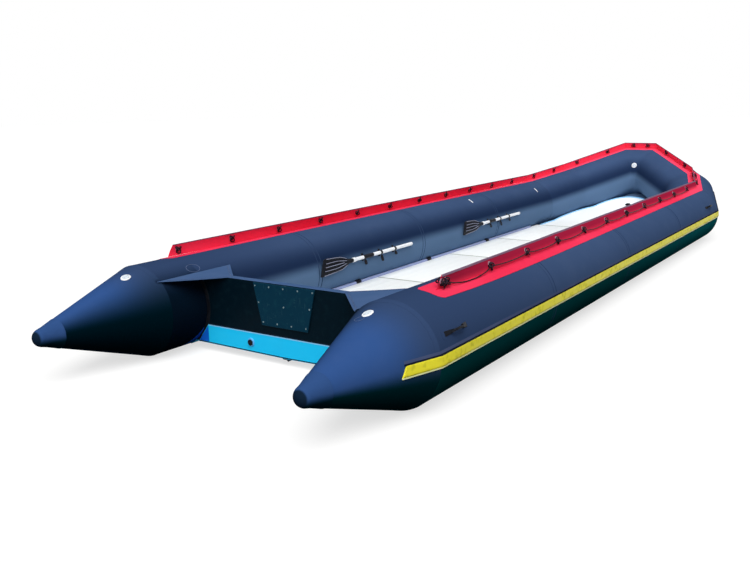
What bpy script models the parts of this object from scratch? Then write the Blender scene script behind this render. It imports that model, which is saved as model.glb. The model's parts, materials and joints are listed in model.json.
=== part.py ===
"""Long inflatable work boat on an aluminium floor, modelled piece by piece.

Metres, +X to the bow, +Y to port, +Z up. Everything is placed from the aft
face of the transom, under one empty that stands the boat on its footprint's
centre. Two straight side tubes end aft in cones, and forward they turn in and
up in mitred lengths to a blunt bow.
"""

from math import asin, atan2, cos, pi, radians, sin, sqrt

import bmesh
import bpy
from mathutils import Matrix, Vector

# Buoyancy tubes
tube_radius = 0.300
tube_sides = 32
tube_offset = 0.959
baffle_x = 2.830
forward_chamber_length = 3.195
shoulder_reach = 0.760
shoulder_offset = 0.749
shoulder_lift = 0.100
nose_reach = 0.564
nose_offset = 0.158
nose_lift = 0.348
bend_x = baffle_x + forward_chamber_length
shoulder_x = bend_x + shoulder_reach
nose_x = shoulder_x + nose_reach

# Stern cones and their moulded tips
cone_seam_x = -0.300
cone_length = 0.730
cone_end_radius = 0.055
tip_cover_length = 0.100
tip_lip = 0.0015
tip_arc_steps = 5

# Gaps between pieces
seat_gap = 0.0003
lap_gap = 0.0005
skirt_end_gap = 0.0015

# Shading and welding
crease_angle = radians(30)
weld_distance = 0.00001

# Rub strake
strake_thickness = 0.008
strake_bevel = 0.004
strake_top_z = 0.353
strake_bottom_z = 0.280
strake_cone_length = 0.245
strake_cone_steps = 5
strake_face_steps = 2

# Lacing skirt: a glued strip with a flap standing on it
skirt_thickness = 0.0025
skirt_strip_width = 0.080
skirt_lip_width = 0.012
skirt_bow_lip_width = 0.045
flap_height = 0.074
flap_lean = 0.009
flap_aft_offset = 0.076
flap_bow_offset = 0.029
flap_stub_height = 0.004
skirt_aft_x = -0.055
skirt_aft_round = 0.045
flap_aft_x = 0.023
flap_aft_slant = 0.065
flap_notch_half = 0.035
skirt_steps = 6
strip_under_steps = 3
strip_over_steps = 2

# Lifeline laced along the skirt
rope_radius = 0.004
knot_radius = 0.0095
knot_half_length = 0.014
rope_sag = 0.024
rope_bow_sag = 0.020
rope_bulge = 0.010
swag_shares = (0.25, 0.50, 0.75)
eyelet_first_x = 0.130
eyelet_pitch = 0.540
eyelet_count = 11
eyelet_height = 0.045
shoulder_eyelet_shares = (0.164, 0.679)
cheek_eyelet_shares = (0.234, 0.750)
nose_eyelet_offset = 0.090

# Transom, motor pads and knees
transom_thickness = 0.045
transom_top_z = 0.5160
transom_side_steps = 10
cap_half_length = 0.456
cap_thickness = 0.004
cap_overhang = 0.003
pad_thickness = 0.012
pad_top_drop = 0.004
pad_height = 0.269
pad_top_half_width = 0.242
pad_bottom_half_width = 0.180
inner_pad_height = 0.220
pad_top_z = transom_top_z - pad_top_drop
pad_bottom_z = pad_top_z - pad_height
knee_reach_x = 0.331
knee_thickness = 0.004
fabric_thickness = 0.003
tail_strip_top_z = 0.182
tail_strip_top_inset = 0.0275
tail_strip_bottom_inset = 0.0300

# Drain in the tail strip
drain_offset = 0.285
drain_z = 0.115
drain_flange_radius = 0.028
drain_flange_thickness = 0.006
drain_bore_radius = 0.014
drain_stem_clearance = 0.0005
drain_stem_length = 0.030
drain_head_radius = 0.019
drain_head_thickness = 0.006

# Hull bottom, keel tube and keel guard
bottom_edge_angle = radians(53)
bottom_lap_angle = radians(64)
bottom_aft_centre_z = 0.050
bottom_centre_z = 0.022
bottom_aft_x = -0.0030
bottom_full_x = 0.800
guard_half_width = 0.030
guard_thickness = 0.005
keel_setback = 0.020
keel_end_gap = 0.125
keel_sides = 20
keel_end_bevel = 0.015
keel_seat_gap = 0.0007

# Floorboards and side rails
floor_top_z = 0.120
board_thickness = 0.012
board_bevel = 0.0015
board_joint_gap = 0.0006
floor_aft_gap = 0.0010
bow_board_overlap = 0.425
board_end_shares = (0.1808, 0.3644, 0.5967, 0.7930, 1.0000)
bow_board_side_gap = 0.0400
bow_board_nose_gap = 0.291
bow_board_taper = 0.125
bow_board_rows = 12
floor_aft_x = transom_thickness + floor_aft_gap
floor_front_x = bend_x - bow_board_overlap
bow_board_front_x = nose_x - bow_board_nose_gap
bow_board_taper_x = bend_x - bow_board_taper
rail_wall = 0.0025
rail_lip = 0.022
rail_clearance = 0.0004
rail_height = 0.032
rail_setback = 0.014
rail_end_gap = 0.215

# Valves
valve_radius = 0.032
valve_height = 0.007
valve_seat_radius = 0.0225
valve_seat_depth = 0.004
valve_cap_clearance = 0.0005
valve_cap_height = 0.006
valve_bar_length = 0.034
valve_bar_width = 0.006
valve_bar_height = 0.005
valve_sides = 24
valve_cap_radius = valve_seat_radius - valve_cap_clearance
stern_valve_setback = 0.1375
stern_valve_angle = radians(101.25)
bow_valve_angle = radians(146.25)

# Carry handles
handle_length = 0.240
handle_foot = 0.050
handle_width = 0.028
handle_rise = 0.036
handle_thickness = 0.007
handle_angle = radians(26)
handle_aft_x = -0.095
handle_bend_gap = 0.355

# Lashing ring on the bow board
ring_shoulder_gap = 0.095
ring_wire_radius = 0.004
ring_half_width = 0.024
ring_reach = 0.040
ring_clearance = 0.0006
ring_pad_radius = 0.032
ring_pad_thickness = 0.004
ring_boss_half_width = 0.013
ring_boss_wall = 0.004
ring_tilt = radians(16)
ring_arc_steps = 8

# Stowed paddles and their straps
paddle_angle = radians(172.5)
aft_paddle_tip_x = 1.230
forward_paddle_tip_x = 3.590
blade_length = 0.410
blade_tip_width = 0.150
blade_thickness = 0.006
blade_rib_height = 0.005
blade_rib_width = 0.007
blade_ribs = 3
blade_outline_shares = (
    (0.00, 0.94), (0.05, 1.00), (0.30, 0.93), (0.62, 0.80), (0.84, 0.34), (1.00, 0.20),
)
rib_start_share = 0.04
rib_end_share = 0.62
rib_spread_share = 0.55
sleeve_flare_share = 0.86
sleeve_start_share = 0.55
sleeve_point_share = 0.45
socket_wall = 0.0032
socket_length = 0.100
shaft_radius = 0.0150
shaft_length = 0.940
shaft_sides = 20
socket_radius = shaft_radius + seat_gap + socket_wall
strap_place_shares = (0.083, 0.381, 0.643)
strap_width = 0.025
strap_thickness = 0.0025
strap_clearance = 0.0006
strap_foot_half_length = 0.032
strap_steps = 16
strap_wrap_start = radians(-27)
strap_wrap_turn = radians(234)

cut_overrun = 0.010

# Names and side signs
sides = (("port", 1), ("starboard", -1))

for old in list(bpy.data.objects):
    bpy.data.objects.remove(old)

boat_collection = bpy.data.collections.new("inflatable_boat")
cutter_collection = bpy.data.collections.new("cutters")
bpy.context.scene.collection.children.link(boat_collection)
bpy.context.scene.collection.children.link(cutter_collection)

boat_origin = bpy.data.objects.new("boat_origin", None)
boat_collection.objects.link(boat_origin)
tube_corner_radius = tube_radius / cos(pi / tube_sides)


def paint(name, colour, roughness, metallic=0.0):
    """A plain Principled material."""
    material = bpy.data.materials.new(name)
    material.use_nodes = True
    shader = material.node_tree.nodes["Principled BSDF"]
    shader.inputs["Base Color"].default_value = (*colour, 1.0)
    shader.inputs["Roughness"].default_value = roughness
    shader.inputs["Metallic"].default_value = metallic
    return material


navy_fabric = paint("navy_fabric", (0.035, 0.060, 0.135), 0.45)
red_fabric = paint("red_fabric", (0.720, 0.030, 0.060), 0.55)
yellow_rubber = paint("yellow_rubber", (0.620, 0.560, 0.040), 0.50)
blue_fabric = paint("blue_fabric", (0.010, 0.350, 0.900), 0.50)
black_board = paint("black_board", (0.012, 0.022, 0.026), 0.55)
teal_pad = paint("teal_pad", (0.015, 0.075, 0.090), 0.50)
grey_trim = paint("grey_trim", (0.080, 0.115, 0.220), 0.60)
black_plastic = paint("black_plastic", (0.015, 0.016, 0.020), 0.45)
black_rope = paint("black_rope", (0.020, 0.018, 0.022), 0.85)
white_plastic = paint("white_plastic", (0.800, 0.830, 0.860), 0.35)
white_board = paint("white_board", (0.850, 0.880, 0.900), 0.40)
bare_aluminium = paint("bare_aluminium", (0.600, 0.650, 0.720), 0.35, 1.0)
bare_steel = paint("bare_steel", (0.560, 0.570, 0.580), 0.30, 1.0)


def adopt(thing, material, smooth_angle=None):
    """Put an object in the boat, with its material and its shading."""
    boat_collection.objects.link(thing)
    thing.parent = boat_origin
    thing.data.materials.clear()
    thing.data.materials.append(material)
    if smooth_angle is not None:
        thing.data.shade_smooth()
        thing.data.set_sharp_from_angle(angle=smooth_angle)
    return thing


def mesh_object(name, points, faces):
    """An unlinked object from points and faces, with its faces turned out."""
    mesh = bpy.data.meshes.new(name)
    mesh.from_pydata([tuple(point) for point in points], [], faces)
    cage = bmesh.new()
    cage.from_mesh(mesh)
    bmesh.ops.recalc_face_normals(cage, faces=cage.faces)
    cage.to_mesh(mesh)
    cage.free()
    return bpy.data.objects.new(name, mesh)


def loft(name, rings, material, open_end=False, smooth_angle=crease_angle):
    """Join rings of equal length into one skin, closed at its ends."""
    size = len(rings[0])
    points = [point for ring in rings for point in ring]
    faces = []
    for row in range(len(rings) - 1):
        for step in range(size):
            here = row * size + step
            there = row * size + (step + 1) % size
            faces.append((here, there, there + size, here + size))
    faces.append(tuple(range(size)))
    if not open_end:
        faces.append(tuple(range(len(points) - size, len(points))))
    return adopt(mesh_object(name, points, faces), material, smooth_angle)


def box(name, low, high, material, bevel=0.0):
    """A block between two corners, with its edges eased."""
    low, high = Vector(low), Vector(high)
    cage = bmesh.new()
    bmesh.ops.create_cube(cage, size=1.0)
    spread = Matrix.Diagonal((*(high - low), 1.0))
    bmesh.ops.transform(cage, matrix=spread, verts=cage.verts)
    mesh = bpy.data.meshes.new(name)
    cage.to_mesh(mesh)
    cage.free()
    block = adopt(bpy.data.objects.new(name, mesh), material)
    block.location = (low + high) / 2
    if bevel:
        ease = block.modifiers.new("eased_edges", "BEVEL")
        ease.width = bevel
        ease.segments = 1
    return block


def turned(name, profile, steps, material, smooth_angle=crease_angle):
    """A turned solid about Z from (radius, height) points, outer side top first."""
    mesh = bpy.data.meshes.new(name)
    points = [(radius, 0.0, height) for radius, height in profile]
    edges = [(i, i + 1) for i in range(len(points) - 1)]
    if profile[0] == profile[-1]:
        points.pop()
        edges[-1] = (len(points) - 1, 0)
    mesh.from_pydata(points, edges, [])
    solid = bpy.data.objects.new(name, mesh)
    screw = solid.modifiers.new("turn", "SCREW")
    screw.steps = screw.render_steps = steps
    screw.use_merge_vertices = True
    screw.merge_threshold = weld_distance
    screw.use_smooth_shade = True
    return adopt(solid, material, smooth_angle)


def plate(name, outline, thickness, material, holes=()):
    """A flat outline in X and Y, filled and given its thickness about Z."""
    curve = bpy.data.curves.new(name, "CURVE")
    curve.dimensions = "2D"
    curve.fill_mode = "BOTH"
    curve.extrude = thickness / 2
    for ring in (outline, *holes):
        spline = curve.splines.new("POLY")
        spline.points.add(len(ring) - 1)
        for point, (x, y) in zip(spline.points, ring):
            point.co = (x, y, 0.0, 1.0)
        spline.use_cyclic_u = True
    return adopt(bpy.data.objects.new(name, curve), material)


def as_mesh(thing):
    """Turn a curve or a modified object into a plain mesh in its place."""
    graph = bpy.context.evaluated_depsgraph_get()
    mesh = bpy.data.meshes.new_from_object(thing.evaluated_get(graph))
    cage = bmesh.new()
    cage.from_mesh(mesh)
    bmesh.ops.remove_doubles(cage, verts=cage.verts, dist=weld_distance)
    bmesh.ops.recalc_face_normals(cage, faces=cage.faces)
    cage.to_mesh(mesh)
    cage.free()
    name, place, old = thing.name, thing.matrix_basis.copy(), thing
    old.name = name + "_old"
    solid = bpy.data.objects.new(name, mesh)
    for collection in old.users_collection:
        collection.objects.link(solid)
    solid.parent = old.parent
    solid.matrix_basis = place
    bpy.data.objects.remove(old)
    return solid


def cut(target, cutter, operation="DIFFERENCE"):
    """Take a cutter from a target, or join it on, and keep it out of the build."""
    for collection in cutter.users_collection:
        collection.objects.unlink(cutter)
    cutter_collection.objects.link(cutter)
    cutter.hide_render = True
    cutter.display_type = "WIRE"
    step = target.modifiers.new(operation.lower(), "BOOLEAN")
    step.operation = operation
    step.solver = "EXACT"
    step.object = cutter


def at(thing, place, turn=None):
    """Place an object in its parent's frame, turned by a matrix of three axes."""
    thing.matrix_basis = Matrix.Translation(place) @ (turn or Matrix()).to_4x4()
    return thing


def axes(along_x, along_z):
    """The rotation whose X and Z axes lie along two given directions."""
    x_axis, z_axis = Vector(along_x).normalized(), Vector(along_z).normalized()
    y_axis = z_axis.cross(x_axis)
    return Matrix((x_axis, y_axis, z_axis)).transposed()


# The tube's axis on the port side, from the cone seam to the boat's centreline
tube_path = [
    Vector((cone_seam_x, tube_offset, tube_radius)),
    Vector((bend_x, tube_offset, tube_radius)),
    Vector((shoulder_x, shoulder_offset, tube_radius + shoulder_lift)),
    Vector((nose_x, nose_offset, tube_radius + nose_lift)),
    Vector((nose_x, 0.0, tube_radius + nose_lift)),
]
side_run, shoulder_run, cheek_run, nose_run = range(4)
bend_corner, shoulder_corner, nose_corner, centre_end = range(1, 5)


def route_frames():
    """Each run's direction, with the outboard and up directions its mitres carry."""
    runs = [(b - a).normalized() for a, b in zip(tube_path, tube_path[1:])]
    outward, upward = Vector((0.0, 1.0, 0.0)), Vector((0.0, 0.0, 1.0))
    frames = [(runs[0], outward, upward)]
    for before, after in zip(runs, runs[1:]):
        normal = (before + after).normalized()
        outward = outward - 2 * outward.dot(normal) * normal
        upward = upward - 2 * upward.dot(normal) * normal
        frames.append((after, outward, upward))
    return frames


frames = route_frames()


def ring_on_run(run, distance, section):
    """A section of (outboard, up) offsets, square across one run of the tube."""
    along, outward, upward = frames[run]
    start = tube_path[run] + along * distance
    return [start + outward * out + upward * up for out, up in section]


def ring_at_corner(corner, section, back=0.0):
    """A section carried along its run to the mitre plane, or to a plane just aft of it."""
    along, outward, upward = frames[corner - 1]
    if corner == centre_end:
        normal = Vector((0.0, -1.0, 0.0))
    else:
        normal = (along + frames[corner][0]).normalized()
    meet = tube_path[corner] - normal * back
    ring = []
    for out, up in section:
        point = tube_path[corner] + outward * out + upward * up
        step = (meet - point).dot(normal) / along.dot(normal)
        ring.append(point + along * step)
    return ring


def run_length(run):
    return (tube_path[run + 1] - tube_path[run]).length


def for_side(ring, sign):
    """A port ring, or its mirror image for starboard."""
    return [Vector((point.x, point.y * sign, point.z)) for point in ring]


def arc(radius, start, end, steps, outside=True):
    """Points of an arc about the tube's axis, clear of the round on the stated side."""
    step = (end - start) / steps
    reach = radius / cos(step / 2) if outside else radius
    angles = [start + step * i for i in range(steps + 1)]
    return [(reach * cos(angle), reach * sin(angle)) for angle in angles]


def tube_section(radius=tube_radius):
    """A faceted round with a flat at its lowest point, its flats on the true radius."""
    corner = radius / cos(pi / tube_sides)
    turns = [2 * pi * (i + 0.5) / tube_sides for i in range(tube_sides)]
    return [(corner * cos(turn), corner * sin(turn)) for turn in turns]


def cone_radius_at(x):
    """The stern cone's radius at a place along the boat."""
    share = (cone_seam_x - x) / cone_length
    return tube_radius + (cone_end_radius - tube_radius) * share


def build_side_tubes():
    """Aft and forward chambers of each side tube, parted at the middle baffle."""
    section = tube_section()
    baffle = baffle_x - cone_seam_x
    for side, sign in sides:
        aft = [ring_on_run(side_run, seat_gap, section)]
        aft.append(ring_on_run(side_run, baffle - seat_gap / 2, section))
        loft(f"{side}_aft_chamber", [for_side(r, sign) for r in aft], navy_fabric)
        forward = [ring_on_run(side_run, baffle + seat_gap / 2, section)]
        forward.append(ring_at_corner(bend_corner, section, seat_gap))
        loft(f"{side}_forward_chamber", [for_side(r, sign) for r in forward], navy_fabric)


def mirror_across(thing):
    """Mirror a port half that is open on the boat's centreline."""
    mirror = thing.modifiers.new("other_side", "MIRROR")
    mirror.use_axis = (False, True, False)
    mirror.merge_threshold = weld_distance
    return thing


def build_bow_tube():
    """One bow chamber: mitred lengths that turn in and rise to a blunt nose."""
    section = tube_section()
    corners = (bend_corner, shoulder_corner, nose_corner, centre_end)
    rings = [ring_at_corner(corner, section) for corner in corners]
    mirror_across(loft("bow_chamber", rings, navy_fabric, open_end=True))


def build_stern_cones():
    """A tapered stern cone on each tube, with a moulded tip over its end."""
    cover_x = cone_seam_x - cone_length + tip_cover_length
    slope = atan2(tube_radius - cone_end_radius, cone_length)
    tip_centre_x = cone_seam_x - cone_length
    turn_share = pi / tube_sides
    for side, sign in sides:
        cone = [
            (cone_radius_at(cover_x + seat_gap), cover_x + seat_gap),
            (tube_radius, cone_seam_x),
        ]
        rings = []
        for radius, x in cone:
            rings.append([Vector((x, 0.0, 0.0)) + Vector((0.0, out, up))
                          for out, up in tube_section(radius)])
        body = loft(f"{side}_stern_cone", rings, navy_fabric)
        at(body, (0.0, sign * tube_offset, tube_radius))
        profile = [(0.0, cover_x), (cone_radius_at(cover_x) + tip_lip, cover_x)]
        for step in range(tip_arc_steps):
            angle = slope + (pi / 2 - slope) * step / tip_arc_steps
            reach = cone_end_radius * cos(angle)
            profile.append((reach, tip_centre_x - cone_end_radius * sin(angle)))
        profile.append((0.0, tip_centre_x - cone_end_radius))
        tip = turned(f"{side}_cone_tip", profile, tube_sides, black_plastic)
        tip.data.transform(Matrix.Rotation(turn_share, 4, "Z"))
        at(tip, (0.0, sign * tube_offset, tube_radius), axes((0, 0, -1), (1, 0, 0)))


def strake_section(radius, low, high):
    """The rub strake's band on a round of the given radius, its outer edges eased."""
    corner = radius / cos(pi / tube_sides) + lap_gap
    ease = strake_bevel / radius
    inner = arc(corner, low, high, strake_face_steps)
    outer = arc(corner + strake_thickness, high - ease, low + ease, strake_face_steps)
    return inner + outer


def strake_angles(radius=tube_radius):
    """The strake keeps its width, so it spans a wider angle on the narrowing cone."""
    low = asin((strake_bottom_z - tube_radius) / tube_radius)
    high = asin((strake_top_z - tube_radius) / tube_radius)
    middle = (low + high) / 2
    half = (high - low) / 2 * tube_radius / radius
    return middle - half, middle + half


def build_rub_strakes():
    """The rub strake in three lengths: one along each side and one round the bow."""
    straight = strake_section(tube_radius, *strake_angles())
    for side, sign in sides:
        rings = []
        for step in range(strake_cone_steps):
            share = 1 - step / strake_cone_steps
            x = cone_seam_x - strake_cone_length * share
            radius = cone_radius_at(x)
            section = strake_section(radius, *strake_angles(radius))
            rings.append(ring_on_run(side_run, x - cone_seam_x, section))
        rings.append(ring_on_run(side_run, 0.0, straight))
        rings.append(ring_at_corner(bend_corner, straight, seat_gap))
        loft(f"{side}_rub_strake", [for_side(r, sign) for r in rings], yellow_rubber)
    corners = (bend_corner, shoulder_corner, nose_corner, centre_end)
    bow = [ring_at_corner(corner, straight) for corner in corners]
    mirror_across(loft("bow_rub_strake", bow, yellow_rubber, open_end=True))


def flap_foot(offset):
    """Height of the strip's outer face above the tube's axis, where the flap stands."""
    reach = tube_corner_radius + lap_gap + skirt_thickness
    return sqrt(reach * reach - offset * offset)


def skirt_section(offset, height, strip_width, lip_width):
    """The glued strip and its standing flap, which leans out a little."""
    inner_radius = tube_corner_radius + lap_gap
    outer_radius = inner_radius + skirt_thickness
    flap_angle = pi / 2 - asin(offset / tube_radius)
    strip_end = flap_angle - strip_width / tube_radius
    lip_end = flap_angle + lip_width / tube_radius
    half = skirt_thickness / 2
    lean = flap_lean * height / flap_height
    foot = flap_foot(offset)
    flap_edge = flap_angle - skirt_thickness / tube_radius
    under = arc(inner_radius, lip_end, strip_end, strip_under_steps)
    over = arc(outer_radius, strip_end, flap_edge, strip_over_steps)
    top = foot + height
    flap = [
        (offset + half, foot),
        (offset + half + lean, top),
        (offset - half + lean, top),
        (offset - half, foot),
    ]
    lip = [(outer_radius * cos(lip_end), outer_radius * sin(lip_end))]
    return under + over[:-1] + flap + lip


def flap_offset_at(x):
    """The flap stands further out aft and nearer the tube's crown at the bow."""
    share = (x - skirt_aft_x) / (bend_x - skirt_aft_x)
    return flap_aft_offset + (flap_bow_offset - flap_aft_offset) * share


def build_skirts():
    """The lacing skirt in three lengths, its flap cut back at the shoulders."""
    stations = [
        (skirt_aft_x, flap_stub_height, skirt_strip_width - skirt_aft_round),
        (skirt_aft_x + skirt_aft_round, flap_stub_height, skirt_strip_width),
        (flap_aft_x, flap_stub_height, skirt_strip_width),
        (flap_aft_x + flap_aft_slant, flap_height, skirt_strip_width),
    ]
    full_x = flap_aft_x + flap_aft_slant
    for step in range(1, skirt_steps):
        x = full_x + (bend_x - full_x) * step / skirt_steps
        stations.append((x, flap_height, skirt_strip_width))
    for side, sign in sides:
        rings = []
        for x, height, strip_width in stations:
            section = skirt_section(flap_offset_at(x), height, strip_width, skirt_lip_width)
            rings.append(ring_on_run(side_run, x - cone_seam_x, section))
        last = skirt_section(flap_bow_offset, flap_height, skirt_strip_width, skirt_lip_width)
        rings.append(ring_at_corner(bend_corner, last, skirt_end_gap))
        loft(f"{side}_lacing_skirt", [for_side(r, sign) for r in rings], red_fabric)
    full = skirt_section(flap_bow_offset, flap_height, skirt_strip_width, skirt_bow_lip_width)
    low = skirt_section(flap_bow_offset, flap_stub_height, skirt_strip_width,
                        skirt_bow_lip_width)
    reach = run_length(shoulder_run) - flap_notch_half
    bow = [
        ring_at_corner(bend_corner, full),
        ring_on_run(shoulder_run, reach, full),
        ring_at_corner(shoulder_corner, low),
        ring_on_run(cheek_run, flap_notch_half, full),
        ring_at_corner(nose_corner, full),
        ring_at_corner(centre_end, full),
    ]
    mirror_across(loft("bow_lacing_skirt", bow, red_fabric, open_end=True))


def rope_section(offset, drop, bulge):
    """The rope's (outboard, up) place beside the flap, below the line of eyelets."""
    share = (eyelet_height - drop) / flap_height
    face = offset + skirt_thickness / 2 + flap_lean * share
    out = face + knot_radius + seat_gap + bulge
    return [(out, flap_foot(offset) + eyelet_height - drop)]


def rope_place(run, distance, offset, drop, bulge):
    """A point of the lifeline, outboard of the flap on one run of the tube."""
    return ring_on_run(run, distance, rope_section(offset, drop, bulge))[0]


def rope_corner(corner, offset, drop):
    """A point of the lifeline where it passes a mitred corner of the flap."""
    return ring_at_corner(corner, rope_section(offset, drop, rope_bulge))[0]


def eyelet_places():
    """The eyelets' places on the port side: run, distance along it, flap's offset."""
    side = []
    for number in range(eyelet_count):
        x = eyelet_first_x + eyelet_pitch * number
        side.append((side_run, x - cone_seam_x, flap_offset_at(x)))
    bow = []
    for run, shares in ((shoulder_run, shoulder_eyelet_shares), (cheek_run, cheek_eyelet_shares)):
        bow += [(run, run_length(run) * share, flap_bow_offset) for share in shares]
    bow.append((nose_run, run_length(nose_run) - nose_eyelet_offset, flap_bow_offset))
    return side, bow


def knot_points(place):
    """Three points of the rope through one knot, with their thickness."""
    run, distance, offset = place
    near = []
    for shift, radius in ((-1, rope_radius), (0, knot_radius), (1, rope_radius)):
        point = rope_place(run, distance + shift * knot_half_length, offset, 0.0, 0.0)
        near.append((point, radius))
    return near


def swag_points(first, second, sag):
    """The rope's slack between two knots, as three points that hang and stand out."""
    points = []
    if first[0] != second[0]:
        ahead = (first[0], (first[1] + run_length(first[0])) / 2, first[2])
        beyond = (second[0], second[1] / 2, second[2])
        points.append((rope_place(*ahead, sag, rope_bulge), rope_radius))
        points.append((rope_corner(second[0], second[2], sag), rope_radius))
        points.append((rope_place(*beyond, sag, rope_bulge), rope_radius))
        return points
    for share in swag_shares:
        depth = 4 * share * (1 - share)
        distance = first[1] + (second[1] - first[1]) * share
        offset = first[2] + (second[2] - first[2]) * share
        point = rope_place(first[0], distance, offset, sag * depth, rope_bulge * depth)
        points.append((point, rope_radius))
    return points


def rope(name, stops):
    """A round rope through chosen points, each with its own thickness."""
    curve = bpy.data.curves.new(name, "CURVE")
    curve.dimensions = "3D"
    curve.bevel_depth = rope_radius
    curve.bevel_resolution = 2
    curve.use_fill_caps = True
    spline = curve.splines.new("POLY")
    spline.points.add(len(stops) - 1)
    for point, (place, radius) in zip(spline.points, stops):
        point.co = (*place, 1.0)
        point.radius = radius / rope_radius
    return adopt(bpy.data.objects.new(name, curve), black_rope)


def build_lifelines():
    """A lifeline along each side and one round the bow, knotted at every eyelet."""
    side, bow = eyelet_places()
    stops = knot_points(side[0])
    for first, second in zip(side, side[1:]):
        stops += swag_points(first, second, rope_sag) + knot_points(second)
    for name, sign in sides:
        placed = [(for_side([point], sign)[0], radius) for point, radius in stops]
        rope(f"{name}_lifeline", placed)
    half = knot_points(bow[0])
    for first, second in zip(bow, bow[1:]):
        half += swag_points(first, second, rope_bow_sag) + knot_points(second)
    starboard = [(for_side([point], -1)[0], radius) for point, radius in reversed(half)]
    rope("bow_lifeline", half + starboard)


def tube_side(radius, low_z, high_z, steps):
    """The (y, z) points of a tube's inboard side between two heights, going up."""
    spread = asin((high_z - tube_radius) / radius) - asin((low_z - tube_radius) / radius)
    reach = radius / cos(spread / steps / 2)
    start = pi - asin((low_z - tube_radius) / reach)
    end = pi - asin((high_z - tube_radius) / reach)
    points = arc(reach, start, end, steps, outside=False)
    return [(tube_offset + out, tube_radius + up) for out, up in points]


def tube_line_at(z):
    """How far out a flat piece at this height can reach before it meets the tube."""
    reach = tube_corner_radius + seat_gap
    drop = tube_radius - z
    return tube_offset - sqrt(reach * reach - drop * drop)


def both_sides(half):
    """A symmetric (y, z) outline from its port half, listed upwards."""
    return half + [(-y, z) for y, z in reversed(half)]


def upright(name, outline, front_x, thickness, material):
    """A plate standing across the boat, its outline in y and z and its aft face at x."""
    solid = plate(name, outline, thickness, material)
    return at(solid, (front_x + thickness / 2, 0.0, 0.0), axes((0, 1, 0), (1, 0, 0)))


def build_transom():
    """The board between the tubes, its top strip, motor pads, knees and tail strip."""
    edge_y, edge_z = bottom_edge()
    board_side = tube_side(tube_corner_radius + seat_gap, edge_z + lap_gap, transom_top_z,
                           transom_side_steps)
    board_side.insert(0, (0.0, bottom_aft_centre_z + lap_gap))
    board = upright("transom_board", both_sides(board_side)[:-1], 0.0, transom_thickness,
                    black_board)
    board = as_mesh(board)
    cut(board, drain_cutter("transom_drain_cutter"))
    cap_low = transom_top_z + seat_gap
    box("transom_top_strip",
        (-cap_overhang, -cap_half_length + seat_gap, cap_low),
        (transom_thickness + cap_overhang, cap_half_length - seat_gap, cap_low + cap_thickness),
        grey_trim, board_bevel)
    pad = [
        (pad_bottom_half_width, pad_bottom_z),
        (pad_top_half_width, pad_top_z),
        (-pad_top_half_width, pad_top_z),
        (-pad_bottom_half_width, pad_bottom_z),
    ]
    upright("outer_motor_pad", pad, -seat_gap - pad_thickness, pad_thickness, teal_pad)
    slope = (pad_top_half_width - pad_bottom_half_width) / (pad_top_z - pad_bottom_z)
    foot_half_width = pad_top_half_width - slope * inner_pad_height
    inner = [
        (foot_half_width, pad_top_z - inner_pad_height),
        (pad_top_half_width, pad_top_z),
        (-pad_top_half_width, pad_top_z),
        (-foot_half_width, pad_top_z - inner_pad_height),
    ]
    upright("inner_motor_pad", inner, transom_thickness + seat_gap, pad_thickness, teal_pad)
    build_knees()
    build_tail_strip()


def build_knees():
    """A flat fabric knee each side, from the board's top corner out to the tube."""
    knee_z = transom_top_z + seat_gap + knee_thickness / 2
    tube_line = tube_line_at(knee_z - knee_thickness / 2)
    for side, sign in sides:
        outline = [
            (0.0, sign * cap_half_length),
            (-knee_reach_x, sign * tube_line),
            (knee_reach_x, sign * tube_line),
            (transom_thickness, sign * cap_half_length),
        ]
        knee = plate(f"{side}_transom_knee", outline, knee_thickness, grey_trim)
        at(knee, (0.0, 0.0, knee_z))


def drain_cutter(name):
    """The drain's bore through the board and the strip."""
    bpy.ops.mesh.primitive_cylinder_add(
        vertices=valve_sides, radius=drain_bore_radius,
        depth=2 * (transom_thickness + cut_overrun), rotation=(0.0, pi / 2, 0.0))
    cutter = bpy.context.object
    cutter.name = name
    cutter.location = (0.0, drain_offset, drain_z)
    cutter.parent = boat_origin
    return cutter


def build_tail_strip():
    """The hull fabric's tail, turned up on the board's aft face, with its drain."""
    edge_y, edge_z = bottom_edge()
    centre_z = bottom_aft_centre_z + lap_gap
    low_y = edge_y - tail_strip_bottom_inset
    low_z = centre_z + (edge_z - bottom_aft_centre_z) * low_y / edge_y
    top_y = tube_line_at(tail_strip_top_z) - tail_strip_top_inset
    outline = [
        (0.0, centre_z),
        (low_y, low_z),
        (top_y, tail_strip_top_z),
        (-top_y, tail_strip_top_z),
        (-low_y, low_z),
    ]
    strip = upright("hull_tail_strip", outline, -seat_gap - fabric_thickness,
                    fabric_thickness, blue_fabric)
    strip = as_mesh(strip)
    cut(strip, drain_cutter("strip_drain_cutter"))
    flange_x = -2 * seat_gap - fabric_thickness
    flange = [
        (drain_flange_radius, drain_flange_thickness / 2),
        (drain_flange_radius, 0.0),
        (drain_bore_radius, 0.0),
        (drain_bore_radius, drain_flange_thickness),
        (drain_flange_radius - drain_flange_thickness / 2, drain_flange_thickness),
        (drain_flange_radius, drain_flange_thickness / 2),
    ]
    ring = turned("drain_flange", flange, valve_sides, white_plastic)
    facing_aft = axes((0, 0, 1), (-1, 0, 0))
    at(ring, (flange_x, drain_offset, drain_z), facing_aft)
    stem_radius = drain_bore_radius - drain_stem_clearance
    head_low = drain_flange_thickness + seat_gap
    head_high = head_low + drain_head_thickness
    plug = [
        (0.0, head_high),
        (drain_head_radius, head_high),
        (drain_head_radius, head_low),
        (stem_radius, head_low),
        (stem_radius, head_low - drain_stem_length),
        (0.0, head_low - drain_stem_length),
    ]
    stopper = turned("drain_plug", plug, valve_sides, black_plastic)
    at(stopper, (flange_x, drain_offset, drain_z), facing_aft)


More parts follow.
